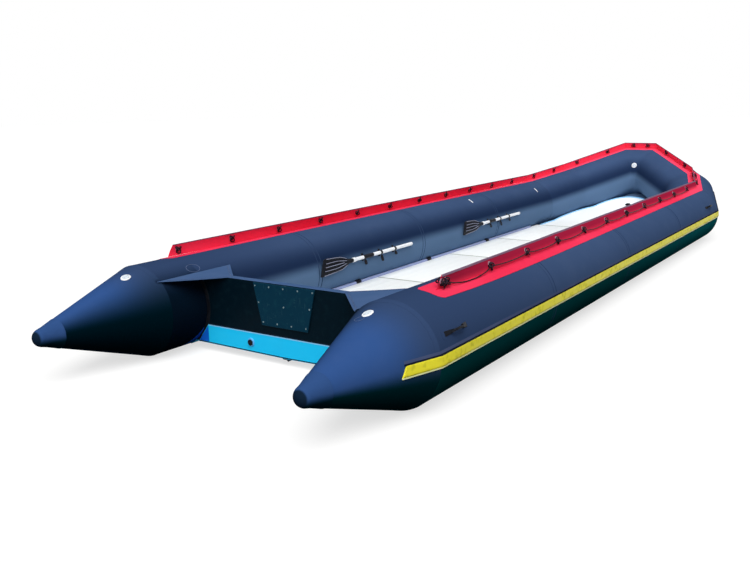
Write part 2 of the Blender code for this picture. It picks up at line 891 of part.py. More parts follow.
def bottom_lap():
    """Where the bottom fabric meets a tube, and how far it is lapped under it."""
    start, end = pi + bottom_edge_angle, pi + bottom_lap_angle
    return arc(tube_corner_radius + lap_gap, start, end, 1)


def bottom_edge():
    """The (y, z) of the bottom fabric's fold against the port tube."""
    out, up = bottom_lap()[0]
    return tube_offset + out, tube_radius + up


def build_hull_bottom():
    """The bottom fabric, lapped under both tubes and round the bow in a shallow vee."""
    section = bottom_lap()
    rows = []
    for x, centre_z in ((bottom_aft_x, bottom_aft_centre_z), (bottom_full_x, bottom_centre_z)):
        ring = ring_on_run(side_run, x - cone_seam_x, section)
        rows.append([Vector((x, 0.0, centre_z))] + ring)
    for corner, lift in ((bend_corner, 0.0), (shoulder_corner, shoulder_lift)):
        ring = ring_at_corner(corner, section)
        rows.append([Vector((ring[0].x, 0.0, bottom_centre_z + lift))] + ring)
    nose = ring_at_corner(nose_corner, section)
    front = ring_at_corner(centre_end, section)
    rows.append([front[0]] + nose)
    points = [point for row in rows for point in row] + [front[1]]
    faces = []
    for row in range(len(rows) - 1):
        for step in range(2):
            here = 3 * row + step
            faces.append((here, here + 1, here + 4, here + 3))
    last = 3 * (len(rows) - 1)
    faces.append((last, last + 1, last + 2, last + 3))
    sheet = mirror_across(adopt(mesh_object("hull_bottom", points, faces), blue_fabric))
    wall = sheet.modifiers.new("fabric", "SOLIDIFY")
    wall.thickness = fabric_thickness
    wall.offset = -1.0 if sheet.data.polygons[0].normal.z > 0 else 1.0
    wall.use_even_offset = True


def bottom_centre_at(x):
    """Height of the bottom fabric's upper face on the centreline."""
    share = min(1.0, max(0.0, (x - bottom_aft_x) / (bottom_full_x - bottom_aft_x)))
    return bottom_aft_centre_z + (bottom_centre_z - bottom_aft_centre_z) * share


def build_keel():
    """The inflated keel under the floor, and the wear strip under the bottom fabric."""
    floor_low = floor_top_z - board_thickness
    low, high = bottom_centre_z + keel_seat_gap, floor_low - seat_gap
    radius, middle = (high - low) / 2, (high + low) / 2
    corner = radius / cos(pi / keel_sides)
    keel_aft_x = bottom_full_x + keel_setback
    length = bend_x - keel_end_gap - keel_aft_x
    profile = [
        (0.0, length),
        (corner - keel_end_bevel, length),
        (corner, length - keel_end_bevel),
        (corner, keel_end_bevel),
        (corner - keel_end_bevel, 0.0),
        (0.0, 0.0),
    ]
    keel = turned("keel_tube", profile, keel_sides, navy_fabric)
    keel.data.transform(Matrix.Rotation(pi / keel_sides, 4, "Z"))
    at(keel, (keel_aft_x, 0.0, middle), axes((0, 0, -1), (1, 0, 0)))
    rings = []
    for x in (bottom_aft_x, bottom_full_x, bend_x):
        high = bottom_centre_at(x) - fabric_thickness - lap_gap
        high -= guard_drop(x)
        rings.append([
            Vector((x, guard_half_width, high)),
            Vector((x, guard_half_width, high - guard_thickness / 2)),
            Vector((x, guard_half_width - guard_thickness, high - guard_thickness)),
            Vector((x, -guard_half_width + guard_thickness, high - guard_thickness)),
            Vector((x, -guard_half_width, high - guard_thickness / 2)),
            Vector((x, -guard_half_width, high)),
        ])
    loft("keel_guard", rings, black_plastic)


def guard_drop(x):
    """Extra depth under the fold where the bottom fabric changes slope."""
    return lap_gap if x == bottom_full_x else 0.0


def build_floor():
    """Flat aluminium boards end to end between the rails, then the turned-up bow board."""
    low_z = floor_top_z - board_thickness
    half = board_edge()
    floor_length = floor_front_x - floor_aft_x
    ends = [floor_aft_x + floor_length * share for share in board_end_shares]
    for number, (start, end) in enumerate(zip([floor_aft_x] + ends, ends), 1):
        box(f"floorboard_{number}",
            (start + board_joint_gap / 2, -half, low_z),
            (end - board_joint_gap / 2, half, floor_top_z),
            white_board, board_bevel)
    build_bow_board()
    build_rails()


def rail_heights():
    """The rail's foot and top, about the boards that it grips."""
    foot = floor_top_z - board_thickness - rail_clearance - rail_wall
    return foot, foot + rail_height


def board_edge():
    """Half the floorboards' width, so that the rails just reach the tubes."""
    return tube_line_at(rail_heights()[1]) - rail_wall - rail_clearance


def floor_height_at(x):
    """The floor's top: level to the bend, then rising with the tubes in two folds."""
    if x <= bend_x:
        return floor_top_z
    if x <= shoulder_x:
        return floor_top_z + shoulder_lift * (x - bend_x) / (shoulder_x - bend_x)
    steep = (nose_lift - shoulder_lift) / (nose_x - shoulder_x)
    return floor_top_z + shoulder_lift + steep * (x - shoulder_x)


def bow_board_half_width_at(x):
    """Straight sides, then a rounded front like a half ellipse."""
    half_width = board_edge() - bow_board_side_gap
    if x <= bow_board_taper_x:
        return half_width
    share = (x - bow_board_taper_x) / (bow_board_front_x - bow_board_taper_x)
    return half_width * sqrt(max(0.0, 1 - share * share))


def build_bow_board():
    """The bow board, folded twice to follow the rise and rounded at its front."""
    start = floor_front_x + board_joint_gap / 2
    span = bow_board_front_x - bow_board_taper_x
    places = [start, bow_board_taper_x, bend_x]
    for row in range(1, bow_board_rows):
        turn = pi / 2 * row / bow_board_rows
        places.append(bow_board_taper_x + span * sin(turn))
    places.append(shoulder_x)
    places = sorted(places)
    rings = []
    for x in places:
        half, top = bow_board_half_width_at(x), floor_height_at(x)
        low = top - board_thickness
        rings.append([
            Vector((x, half, top)), Vector((x, -half, top)),
            Vector((x, -half, low)), Vector((x, half, low)),
        ])
    loft("bow_board", rings, white_board)


def build_rails():
    """A channel along each side of the floor, gripping the boards' edges."""
    grip = board_thickness / 2 + rail_clearance
    middle = floor_top_z - board_thickness / 2
    inner_y = board_edge() - rail_lip
    back_y = board_edge() + rail_clearance
    outer_y = back_y + rail_wall
    foot, top = rail_heights()
    outline = [
        (inner_y, foot),
        (outer_y, foot),
        (outer_y, top),
        (back_y, top),
        (back_y, middle + grip + rail_wall),
        (inner_y, middle + grip + rail_wall),
        (inner_y, middle + grip),
        (back_y, middle + grip),
        (back_y, middle - grip),
        (inner_y, middle - grip),
    ]
    for side, sign in sides:
        rings = [[Vector((x, sign * y, z)) for y, z in outline]
                 for x in (floor_aft_x + rail_setback, floor_front_x - rail_end_gap)]
        loft(f"{side}_floor_rail", rings, bare_aluminium, smooth_angle=None)


def valve(name, place, outward, along):
    """A valve's flanged body with its turning cap, on the tube's skin."""
    turn = axes(along, outward)
    seat = Vector(place) + Vector(outward).normalized() * seat_gap
    body = [
        (0.0, valve_height - valve_seat_depth),
        (valve_seat_radius, valve_height - valve_seat_depth),
        (valve_seat_radius, valve_height),
        (valve_radius - valve_height / 2, valve_height),
        (valve_radius, valve_height / 2),
        (valve_radius, 0.0),
        (0.0, 0.0),
    ]
    at(as_mesh(turned(f"{name}_valve_body", body, valve_sides, white_plastic)), seat, turn)
    cap_low = valve_height - valve_seat_depth + seat_gap
    cap_high = cap_low + valve_cap_height
    cap = [
        (0.0, cap_high),
        (valve_cap_radius, cap_high),
        (valve_cap_radius, cap_low),
        (0.0, cap_low),
    ]
    lid = as_mesh(turned(f"{name}_valve_cap", cap, valve_sides, grey_trim))
    bar = box(f"{name}_bar",
              (-valve_bar_length / 2, -valve_bar_width / 2, cap_high - valve_bar_height / 2),
              (valve_bar_length / 2, valve_bar_width / 2, cap_high + valve_bar_height),
              grey_trim)
    bar.parent = lid
    cut(lid, bar, "UNION")
    at(lid, seat, turn)


def surface_point(x, angle, radius):
    """A point of the port tube's skin, and the way it faces."""
    outward = Vector((0.0, cos(angle), sin(angle)))
    centre = Vector((x, tube_offset, tube_radius))
    return centre + outward * radius, outward


def build_valves():
    """A valve on each stern cone and one on the bow tube's inner side."""
    slope = atan2(tube_radius - cone_end_radius, cone_length)
    x = cone_seam_x - stern_valve_setback
    place, outward = surface_point(x, stern_valve_angle, cone_radius_at(x))
    facing = (outward * cos(slope) + Vector((-sin(slope), 0.0, 0.0))).normalized()
    along = Vector((cos(slope), 0.0, 0.0)) + outward * sin(slope)
    for side, sign in sides:
        flip = Vector((1.0, sign, 1.0))
        valve(f"{side}_stern", place * flip, facing * flip, along * flip)
    direction, outer, upper = frames[nose_run]
    facing = outer * cos(bow_valve_angle) + upper * sin(bow_valve_angle)
    valve("bow", tube_path[centre_end] + facing * tube_radius, facing, direction)


def build_handles():
    """A moulded carry handle near each end of both side tubes."""
    half = handle_length / 2
    inner_half = half - handle_foot
    shoulder = inner_half - handle_rise / 2
    outline = [
        (-half, 0.0),
        (-inner_half, 0.0),
        (-shoulder, handle_rise - handle_thickness),
        (shoulder, handle_rise - handle_thickness),
        (inner_half, 0.0),
        (half, 0.0),
        (half, handle_thickness / 2),
        (inner_half + handle_thickness / 2, handle_thickness),
        (shoulder + handle_thickness / 2, handle_rise),
        (-shoulder - handle_thickness / 2, handle_rise),
        (-inner_half - handle_thickness / 2, handle_thickness),
        (-half, handle_thickness / 2),
    ]
    for end, x in (("aft", handle_aft_x), ("bow", bend_x - handle_bend_gap)):
        place, outward = surface_point(x, handle_angle, tube_corner_radius + seat_gap)
        for side, sign in sides:
            flip = Vector((1.0, sign, 1.0))
            handle = plate(f"{side}_{end}_handle", outline, handle_width, black_plastic)
            facing = outward * flip
            across = Vector((1.0, 0.0, 0.0)).cross(facing)
            turn = Matrix((Vector((1.0, 0.0, 0.0)), facing, across)).transposed()
            at(handle, place * flip, turn)


def build_lashing_ring():
    """A lashing ring lying on the bow board, in its pad's boss."""
    steep = atan2(nose_lift - shoulder_lift, nose_x - shoulder_x)
    normal = Vector((-sin(steep), 0.0, cos(steep)))
    uphill = Vector((cos(steep), 0.0, sin(steep)))
    ring_x = shoulder_x + ring_shoulder_gap
    place = Vector((ring_x, 0.0, floor_height_at(ring_x))) + normal * seat_gap
    turn = axes(uphill, normal)
    pad_profile = [
        (0.0, ring_pad_thickness),
        (ring_pad_radius - ring_pad_thickness / 2, ring_pad_thickness),
        (ring_pad_radius, ring_pad_thickness / 2),
        (ring_pad_radius, 0.0),
        (0.0, 0.0),
    ]
    pad = as_mesh(turned("lashing_ring_pad", pad_profile, valve_sides, black_plastic))
    bore = ring_wire_radius + ring_clearance
    axis_height = ring_pad_thickness + ring_clearance + bore
    boss_radius = bore + ring_boss_wall
    boss = box("ring_boss",
               (-boss_radius, -ring_boss_half_width, ring_pad_thickness / 2),
               (boss_radius, ring_boss_half_width, axis_height + boss_radius),
               black_plastic)
    boss.parent = pad
    cut(pad, boss, "UNION")
    bpy.ops.mesh.primitive_cylinder_add(
        vertices=valve_sides, radius=bore, depth=2 * (ring_boss_half_width + cut_overrun),
        rotation=(pi / 2, 0.0, 0.0))
    drill = bpy.context.object
    drill.name = "ring_drill"
    drill.parent = pad
    drill.location = (0.0, 0.0, axis_height)
    cut(pad, drill)
    at(pad, place, turn)
    half, straight = ring_half_width, ring_reach - ring_half_width
    path = [(0.0, -half), (0.0, half), (-straight, half)]
    for step in range(1, ring_arc_steps):
        angle = pi / 2 - pi * step / ring_arc_steps
        path.append((-straight - half * cos(angle), half * sin(angle)))
    path.append((-straight, -half))
    curve = bpy.data.curves.new("lashing_ring", "CURVE")
    curve.dimensions = "3D"
    curve.bevel_depth = ring_wire_radius
    curve.bevel_resolution = 2
    spline = curve.splines.new("POLY")
    spline.points.add(len(path) - 1)
    for point, (x, y) in zip(spline.points, path):
        point.co = (x, y, 0.0, 1.0)
    spline.use_cyclic_u = True
    ring = adopt(bpy.data.objects.new("lashing_ring", curve), bare_steel)
    tilt = Matrix.Rotation(ring_tilt, 3, "Y")
    at(ring, place + normal * axis_height, turn @ tilt)


def paddle_axis():
    """Where a stowed paddle's shaft lies beside the port tube, in y and z."""
    reach = tube_corner_radius + seat_gap + strap_thickness + seat_gap
    reach += strap_clearance + shaft_radius
    outward = Vector((0.0, cos(paddle_angle), sin(paddle_angle)))
    return Vector((0.0, tube_offset, tube_radius)) + outward * reach, outward


def build_blade(name, place, turn):
    """A ribbed moulded blade with the socket that takes the shaft."""
    half_tip = blade_tip_width / 2
    edge = [(blade_length * along, half_tip * out) for along, out in blade_outline_shares]
    outline = edge + [(x, -y) for x, y in reversed(edge)]
    blade = as_mesh(plate(name, outline, blade_thickness, black_plastic))
    rib_low, rib_high = -blade_thickness / 2 - blade_rib_height, blade_thickness / 2
    rib_high += blade_rib_height
    for number in range(blade_ribs):
        lane = (number - (blade_ribs - 1) / 2) * half_tip * rib_spread_share
        rib = box(f"{name}_rib_{number}",
                  (blade_length * rib_start_share, lane - blade_rib_width / 2, rib_low),
                  (blade_length * rib_end_share, lane + blade_rib_width / 2, rib_high),
                  black_plastic)
        rib.parent = blade
        cut(blade, rib, "UNION")
    neck_start = blade_length * sleeve_start_share
    neck = [
        (0.0, blade_length + socket_length),
        (socket_radius, blade_length + socket_length),
        (socket_radius, blade_length * sleeve_flare_share),
        (socket_radius * sleeve_point_share, neck_start),
        (0.0, neck_start),
    ]
    sleeve = turned(f"{name}_sleeve", neck, shaft_sides, black_plastic)
    sleeve.matrix_basis = axes((0, 0, -1), (1, 0, 0)).to_4x4()
    sleeve.parent = blade
    cut(blade, sleeve, "UNION")
    bore_radius = shaft_radius + seat_gap
    bpy.ops.mesh.primitive_cylinder_add(
        vertices=shaft_sides, radius=bore_radius / cos(pi / shaft_sides),
        depth=socket_length + cut_overrun, rotation=(0.0, pi / 2, 0.0))
    drill = bpy.context.object
    drill.name = f"{name}_drill"
    drill.location.x = blade_length + (socket_length + cut_overrun) / 2
    drill.parent = blade
    cut(blade, drill)
    return at(blade, place, turn)


def build_paddles():
    """Two paddles stowed along the port tube's inner side, each in three strap loops."""
    axis, outward = paddle_axis()
    up_along = Vector((1.0, 0.0, 0.0)).cross(outward)
    turn = axes((1, 0, 0), outward)
    for label, tip_x in (("aft", aft_paddle_tip_x), ("forward", forward_paddle_tip_x)):
        place = axis + Vector((tip_x, 0.0, 0.0))
        build_blade(f"{label}_paddle_blade", place, turn)
        start = blade_length + seat_gap
        shaft = [
            (0.0, start + shaft_length),
            (shaft_radius / 2, start + shaft_length),
            (shaft_radius, start + shaft_length - shaft_radius / 2),
            (shaft_radius, start),
            (0.0, start),
        ]
        pole = turned(f"{label}_paddle_shaft", shaft, shaft_sides, white_plastic)
        at(pole, place, axes((0, 0, -1), (1, 0, 0)))
        free_start = tip_x + blade_length + socket_length
        free_length = shaft_length - socket_length
        for number, share in enumerate(strap_place_shares, 1):
            strap_x = free_start + free_length * share
            build_strap(f"{label}_paddle_strap_{number}", strap_x, axis, outward, up_along)


def build_strap(name, x, axis, outward, up_along):
    """A webbing loop round the shaft, on a foot against the tube."""
    hole = shaft_radius + strap_clearance
    outer = hole + strap_thickness
    foot = -(outer + seat_gap)
    ring = []
    for step in range(strap_steps + 1):
        angle = strap_wrap_start + strap_wrap_turn * step / strap_steps
        ring.append((outer * cos(angle), outer * sin(angle)))
    outline = [
        (-strap_foot_half_length, foot),
        (strap_foot_half_length, foot),
        (strap_foot_half_length, foot + strap_thickness),
    ] + ring + [(-strap_foot_half_length, foot + strap_thickness)]
    turns = [2 * pi * step / strap_steps for step in range(strap_steps)]
    reach = hole / cos(pi / strap_steps)
    loop = [(reach * cos(angle), reach * sin(angle)) for angle in turns]
    strap = plate(name, outline, strap_width, black_plastic, holes=(loop,))
    turn = Matrix((up_along, outward, up_along.cross(outward))).transposed()
    at(strap, axis + Vector((x, 0.0, 0.0)), turn)


def stand_on_footprint():
    """Put the origin at the middle of the boat's footprint."""
    stern_x = cone_seam_x - cone_length - cone_end_radius
    strake = strake_section(tube_radius, *strake_angles())
    bow_x = max(point.x for point in ring_at_corner(centre_end, strake))
    boat_origin.location.x = -(stern_x + bow_x) / 2


build_side_tubes()
build_bow_tube()
build_stern_cones()
build_rub_strakes()
build_skirts()
build_lifelines()
build_transom()
build_hull_bottom()
build_keel()
build_floor()
build_valves()
build_handles()
build_lashing_ring()
build_paddles()
stand_on_footprint()
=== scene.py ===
# %% [markdown]
# # A long inflatable work boat
# The boat is nearly nine metres of air, fabric and rope on an aluminium floor. Its solids come from a CAD file,
# and this lesson dresses them: each piece is modelled again the way a maker would make it, then given its finish.
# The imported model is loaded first. It fixes every place and size, so nothing here has to be fitted by eye.

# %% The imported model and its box
import json
from math import asin, atan2, cos, pi, radians, sin, sqrt

import bmesh
import bpy
from mathutils import Matrix, Vector, noise

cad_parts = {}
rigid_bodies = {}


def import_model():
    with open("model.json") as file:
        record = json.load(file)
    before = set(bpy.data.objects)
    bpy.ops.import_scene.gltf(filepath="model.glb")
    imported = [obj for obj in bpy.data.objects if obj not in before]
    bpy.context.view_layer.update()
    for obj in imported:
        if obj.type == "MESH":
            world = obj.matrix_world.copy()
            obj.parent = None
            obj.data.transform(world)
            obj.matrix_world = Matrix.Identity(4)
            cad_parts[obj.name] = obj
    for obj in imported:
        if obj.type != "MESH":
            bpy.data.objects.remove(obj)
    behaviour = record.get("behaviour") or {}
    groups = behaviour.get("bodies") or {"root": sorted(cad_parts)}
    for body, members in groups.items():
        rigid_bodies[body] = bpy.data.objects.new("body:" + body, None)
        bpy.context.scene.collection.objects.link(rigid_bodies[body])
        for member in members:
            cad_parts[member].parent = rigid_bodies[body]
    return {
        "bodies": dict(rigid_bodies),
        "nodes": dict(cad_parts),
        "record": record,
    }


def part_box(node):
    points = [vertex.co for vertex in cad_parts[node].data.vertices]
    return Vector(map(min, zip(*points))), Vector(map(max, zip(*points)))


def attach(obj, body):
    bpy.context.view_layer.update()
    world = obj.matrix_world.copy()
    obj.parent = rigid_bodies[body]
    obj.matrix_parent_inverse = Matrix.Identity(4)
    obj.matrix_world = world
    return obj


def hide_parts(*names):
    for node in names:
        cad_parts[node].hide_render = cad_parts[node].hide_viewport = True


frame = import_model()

known = set(frame["nodes"].values()) | set(frame["bodies"].values())
for stray in [thing for thing in bpy.data.objects if thing not in known]:
    bpy.data.objects.remove(stray)
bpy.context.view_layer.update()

# %% [markdown]
# ## The camera
# A camera fitted to a photograph has a place, a direction and a focal length. Here they were worked out from the
# boat's own straight lines: it stands off the starboard quarter at a standing person's height and looks down a
# little. Its three axes are written as a matrix, so a small tilt of the horizon is kept as well.

# %% The camera off the starboard quarter
eye = Vector((-7.1437, -3.2309, 1.5986))
heading, look_down, horizon_tilt = radians(33.6117), radians(12.0578), radians(-0.9019)
ahead = Vector((cos(heading) * cos(look_down), sin(heading) * cos(look_down), -sin(look_down)))
level_right = Vector((sin(heading), -cos(heading), 0.0))
level_up = level_right.cross(ahead)
picture_right = level_right * cos(horizon_tilt) + level_up * sin(horizon_tilt)
picture_up = level_up * cos(horizon_tilt) - level_right * sin(horizon_tilt)
bpy.ops.object.camera_add(location=eye)
camera = bpy.context.object
camera.name = "quarter_camera"
camera.rotation_euler = Matrix((picture_right, picture_up, -ahead)).transposed().to_euler()
camera.data.sensor_width = 36.0
camera.data.lens = 40.387
camera.data.clip_end = 200.0
bpy.context.scene.camera = camera

# %% [markdown]
# ## The line of the tubes
# Both buoyancy tubes follow one line: straight from the stern to a bend, then in and up in two mitred lengths to a
# blunt nose. A mitre is a joint cut on the plane that halves the angle, as on a picture frame. A section carried
# round it is mirrored in that plane, so that the skin on both sides meets edge to edge.

# %% Corners, runs and mitre planes
tube_low, tube_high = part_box("port_aft_chamber")
radius = (tube_high.z - tube_low.z) / 2
tube_y = (tube_high.y + tube_low.y) / 2
stern_x, transom_run = -3.284165, 0.300
corners = [Vector((stern_x - transom_run, tube_y, radius)), Vector((stern_x + 6.025, tube_y, radius)),
           Vector((stern_x + 6.785, 0.749, radius + 0.100)), Vector((stern_x + 7.349, 0.158, radius + 0.348)),
           Vector((stern_x + 7.349, 0.0, radius + 0.348))]
side_run, shoulder_run, cheek_run, nose_run = range(4)
bow_runs = (shoulder_run, cheek_run, nose_run)


def run_axes():
    """Each run's direction, with its outboard and up directions carried over the mitres."""
    ways = [(b - a).normalized() for a, b in zip(corners, corners[1:])]
    outward, upward = Vector((0.0, 1.0, 0.0)), Vector((0.0, 0.0, 1.0))
    found = [(ways[0], outward, upward)]
    for before, after in zip(ways, ways[1:]):
        normal = (before + after).normalized()
        outward = outward - 2 * outward.dot(normal) * normal
        upward = upward - 2 * upward.dot(normal) * normal
        found.append((after, outward, upward))
    return found


axes_of = run_axes()
run_length = [(b - a).length for a, b in zip(corners, corners[1:])]
mitres = [Vector((1.0, 0.0, 0.0))]
mitres += [(a[0] + b[0]).normalized() for a, b in zip(axes_of, axes_of[1:])] + [Vector((0.0, -1.0, 0.0))]
print("Run lengths:", [round(length, 3) for length in run_length])


def across(run, distance):
    """The matrix of a section square across a run: X outboard, Y up, Z along."""
    along, outward, upward = axes_of[run]
    turn = Matrix((outward, upward, along)).transposed().to_4x4()
    return Matrix.Translation(corners[run] + along * distance) @ turn


def on_tube(run, distance, angle, lift=0.0):
    """A point of the port tube's skin by its angle above outboard, and the way it faces."""
    place = across(run, distance)
    facing = Vector((cos(angle), sin(angle), 0.0))
    return place @ (facing * (radius + lift)), place.to_3x3() @ facing

# %% [markdown]
# ## Working as by hand
# Every piece below is made with the tools of the 3-D window. A few short helpers keep the lesson readable: one
# selects an object, one opens its mesh, one selects faces, edges or points by a rule, and one draws a line from
# point to point by extruding a single vertex.

# %% Selecting and shaping
def pick(*pieces):
    """Selects these objects and nothing else. The first one is the active one."""
    if bpy.context.mode != "OBJECT":
        bpy.ops.object.mode_set(mode="OBJECT")
    bpy.ops.object.select_all(action="DESELECT")
    for piece in pieces:
        piece.select_set(True)
    bpy.context.view_layer.objects.active = pieces[0]


def open_mesh(piece, kind="VERT"):
    pick(piece)
    bpy.ops.object.mode_set(mode="EDIT")
    bpy.ops.mesh.select_mode(type=kind)
    bpy.ops.mesh.select_all(action="DESELECT")


def close_mesh():
    bpy.ops.object.mode_set(mode="OBJECT")


def middle(part):
    """The middle of a face, an edge or a point."""
    if isinstance(part, bmesh.types.BMFace):
        return part.calc_center_median()
    if isinstance(part, bmesh.types.BMEdge):
        return (part.verts[0].co + part.verts[1].co) / 2
    return part.co


def choose(kind, rule):
    """In edit mode, selects the parts of one kind that a rule accepts, and says how many."""
    bpy.ops.mesh.select_mode(type=kind)
    bpy.ops.mesh.select_all(action="DESELECT")
    cage = bmesh.from_edit_mesh(bpy.context.edit_object.data)
    cage.normal_update()
    parts = {"VERT": cage.verts, "EDGE": cage.edges, "FACE": cage.faces}[kind]
    found = [part for part in parts if rule(part)]
    for part in found:
        part.select_set(True)
    cage.select_flush_mode()
    bmesh.update_edit_mesh(bpy.context.edit_object.data)
    return len(found)


def select_all():
    bpy.ops.mesh.select_all(action="SELECT")


def face_outwards():
    select_all()
    bpy.ops.mesh.normals_make_consistent(inside=False)


def named(piece, name):
    piece.name = piece.data.name = name
    return piece


def push(way):
    """Extrudes what is selected along a vector and leaves the new part selected."""
    bpy.ops.mesh.extrude_region_move(TRANSFORM_OT_translate={"value": tuple(way)})


def trim(point, normal, keep_front=False):
    """Cuts the open mesh by a plane and drops the side that the normal points to."""
    select_all()
    bpy.ops.mesh.bisect(plane_co=tuple(point), plane_no=tuple(normal),
                        clear_outer=not keep_front, clear_inner=keep_front)


def score(point, normal):
    """Cuts an edge loop into the open mesh along a plane and drops nothing."""
    select_all()
    bpy.ops.mesh.bisect(plane_co=tuple(point), plane_no=tuple(normal))


def draw_line(name, points, closed=False):
    """A new mesh of one line: a plane merged to a point, extruded from place to place. It stays open for editing."""
    bpy.ops.mesh.primitive_plane_add(size=0.01, location=(0.0, 0.0, 0.0))
    piece = named(bpy.context.object, name)
    open_mesh(piece)
    select_all()
    bpy.ops.mesh.merge(type="CENTER")
    bpy.ops.transform.translate(value=tuple(points[0]))
    for here, there in zip(points, points[1:]):
        push(Vector(there) - Vector(here))
    if closed:
        choose("VERT", lambda point: len(point.link_edges) == 1)
        bpy.ops.mesh.edge_face_add()
    select_all()
    return piece


def add_modifier(piece, kind, **settings):
    """Adds a modifier with its settings and applies it at once."""
    pick(piece)
    bpy.ops.object.modifier_add(type=kind)
    modifier = piece.modifiers[-1]
    for setting, value in settings.items():
        setattr(modifier, setting, value)
    bpy.ops.object.modifier_apply(modifier=modifier.name)
    return piece


def give_wall(piece, thickness, offset=1.0):
    return add_modifier(piece, "SOLIDIFY", thickness=thickness, offset=offset, use_even_offset=True)


def ease_edges(piece, width, segments=2, angle=radians(40)):
    return add_modifier(piece, "BEVEL", width=width, segments=segments, limit_method="ANGLE", angle_limit=angle)


def shade(piece, angle=radians(35)):
    pick(piece)
    bpy.ops.object.shade_smooth_by_angle(angle=angle)
    return piece


def weld(piece, distance=0.0002):
    """Merges doubled points and turns every face outwards."""
    open_mesh(piece)
    select_all()
    bpy.ops.mesh.remove_doubles(threshold=distance)
    face_outwards()
    close_mesh()
    return piece


def flip_faces(piece):
    open_mesh(piece)
    select_all()
    bpy.ops.mesh.flip_normals()
    close_mesh()
    return piece


def face_toward(piece, way):
    """Turns the faces of a sheet over where its first one looks away from a vector."""
    return flip_faces(piece) if Vector(piece.data.polygons[0].normal).dot(Vector(way)) < 0 else piece


def close_ends(piece):
    """Fills every hole of a piece with a face."""
    open_mesh(piece)
    select_all()
    bpy.ops.mesh.fill_holes(sides=0)
    face_outwards()
    close_mesh()
    return piece


def join(name, pieces):
    """Joins pieces into one object."""
    pick(*pieces)
    bpy.ops.object.join()
    return named(bpy.context.object, name)


def settle(piece):
    """Puts a piece's place, turn and size into its mesh."""
    pick(piece)
    bpy.ops.object.transform_apply(location=True, rotation=True, scale=True)
    return piece


def put(piece, matrix):
    piece.matrix_world = matrix @ piece.matrix_world
    return settle(piece)


to_starboard = Matrix.Diagonal((1.0, -1.0, 1.0, 1.0))


def mirrored(piece):
    """Moves a piece over to the other side. Mirroring turns its faces inside out, so they are turned back."""
    return flip_faces(put(piece, to_starboard))


def copy_of(piece, name, matrix=None):
    """A copy with its own mesh, moved by a matrix, or else mirrored to starboard."""
    pick(piece)
    bpy.ops.object.duplicate(linked=False)
    twin = named(bpy.context.object, name)
    return mirrored(twin) if matrix is None else put(twin, matrix)


def both_ways(points):
    """A half outline and its mirror image in the first coordinate, in one round."""
    return points + [(-across_by, up) for across_by, up in reversed(points) if across_by]


def both_halves(piece):
    """Closes a port half over the boat's centreline."""
    return add_modifier(piece, "MIRROR", use_axis=(False, True, False), merge_threshold=0.0005)


def finish(piece, material, slot, *nodes, body="hull"):
    """Gives a finished piece its material, the body that it rides on and the solids that it stands for."""
    piece.data.materials.clear()
    piece.data.materials.append(material)
    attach(piece, body)
    if nodes:
        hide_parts(*nodes)
    print(f"{piece.name}: {len(piece.data.polygons)} faces")
    return piece


def finish_pair(piece, material, slot, node=""):
    """Finishes a port piece and its mirrored copy, and gives back both with their sides."""
    twin = copy_of(piece, piece.name.replace("port", "starboard"))
    for each, side in ((piece, "port"), (twin, "starboard")):
        finish(each, material, slot, *([f"{side}_{node}"] if node else []))
    return (piece, "port"), (twin, "starboard")

# %% [markdown]
# ## Finishes
# A finish is a small network of nodes. Effects that several finishes share are made once as node groups: the coated
# cloth that nearly everything soft is cut from, the grain of moulded plastic, and light scratches. A group gives
# out colours, masks and heights only, and each material keeps its own shader.

# %% Helpers for nodes
def set_input(tree, socket, value):
    """Links an input to another node's socket, or gives it a plain value."""
    if isinstance(value, bpy.types.NodeSocket):
        tree.links.new(value, socket)
    else:
        socket.default_value = value


def add_node(tree, kind, inputs=None, **settings):
    """A node with its settings and the values of its inputs."""
    made = tree.nodes.new(kind)
    for setting, value in settings.items():
        setattr(made, setting, value)
    for socket, value in (inputs or {}).items():
        set_input(tree, made.inputs[socket], value)
    return made


def new_group(name, inputs, outputs):
    """An empty node group with its sockets, and the nodes that stand for them."""
    tree = bpy.data.node_groups.new(name, "ShaderNodeTree")
    for label, kind, value in inputs:
        tree.interface.new_socket(name=label, in_out="INPUT", socket_type=kind).default_value = value
    for label, kind in outputs:
        tree.interface.new_socket(name=label, in_out="OUTPUT", socket_type=kind)
    return tree, tree.nodes.new("NodeGroupInput").outputs, tree.nodes.new("NodeGroupOutput").inputs


def blend_of(tree, share, first, second):
    """A colour mix of two colours or sockets."""
    return add_node(tree, "ShaderNodeMix", {0: share, 6: first, 7: second}, data_type="RGBA").outputs[2]


def sum_of(tree, operation, first, second=0.5, third=0.5):
    """A Math node on numbers or sockets."""
    return add_node(tree, "ShaderNodeMath", {0: first, 1: second, 2: third}, operation=operation).outputs[0]


def slope_of(tree, value, low, high, to_low=0.0, to_high=1.0):
    """A smooth step of a value from one range to another."""
    return add_node(tree, "ShaderNodeMapRange", {"Value": value, "From Min": low, "From Max": high, "To Min": to_low,
                                                 "To Max": to_high}, interpolation_type="SMOOTHSTEP").outputs[0]


def clouds(tree, where, scale, detail=3.0):
    return add_node(tree, "ShaderNodeTexNoise", {"Vector": where, "Scale": scale, "Detail": detail,
                                                 "Roughness": 0.55}).outputs["Fac"]


def map_of(tree, kind="Object"):
    return add_node(tree, "ShaderNodeTexCoord").outputs[kind]


number, colour = "NodeSocketFloat", "NodeSocketColor"
grey, pale_grey = (0.1, 0.1, 0.1, 1), (0.2, 0.2, 0.2, 1)
surface = [("Colour", colour), ("Roughness", number), ("Height", number)]

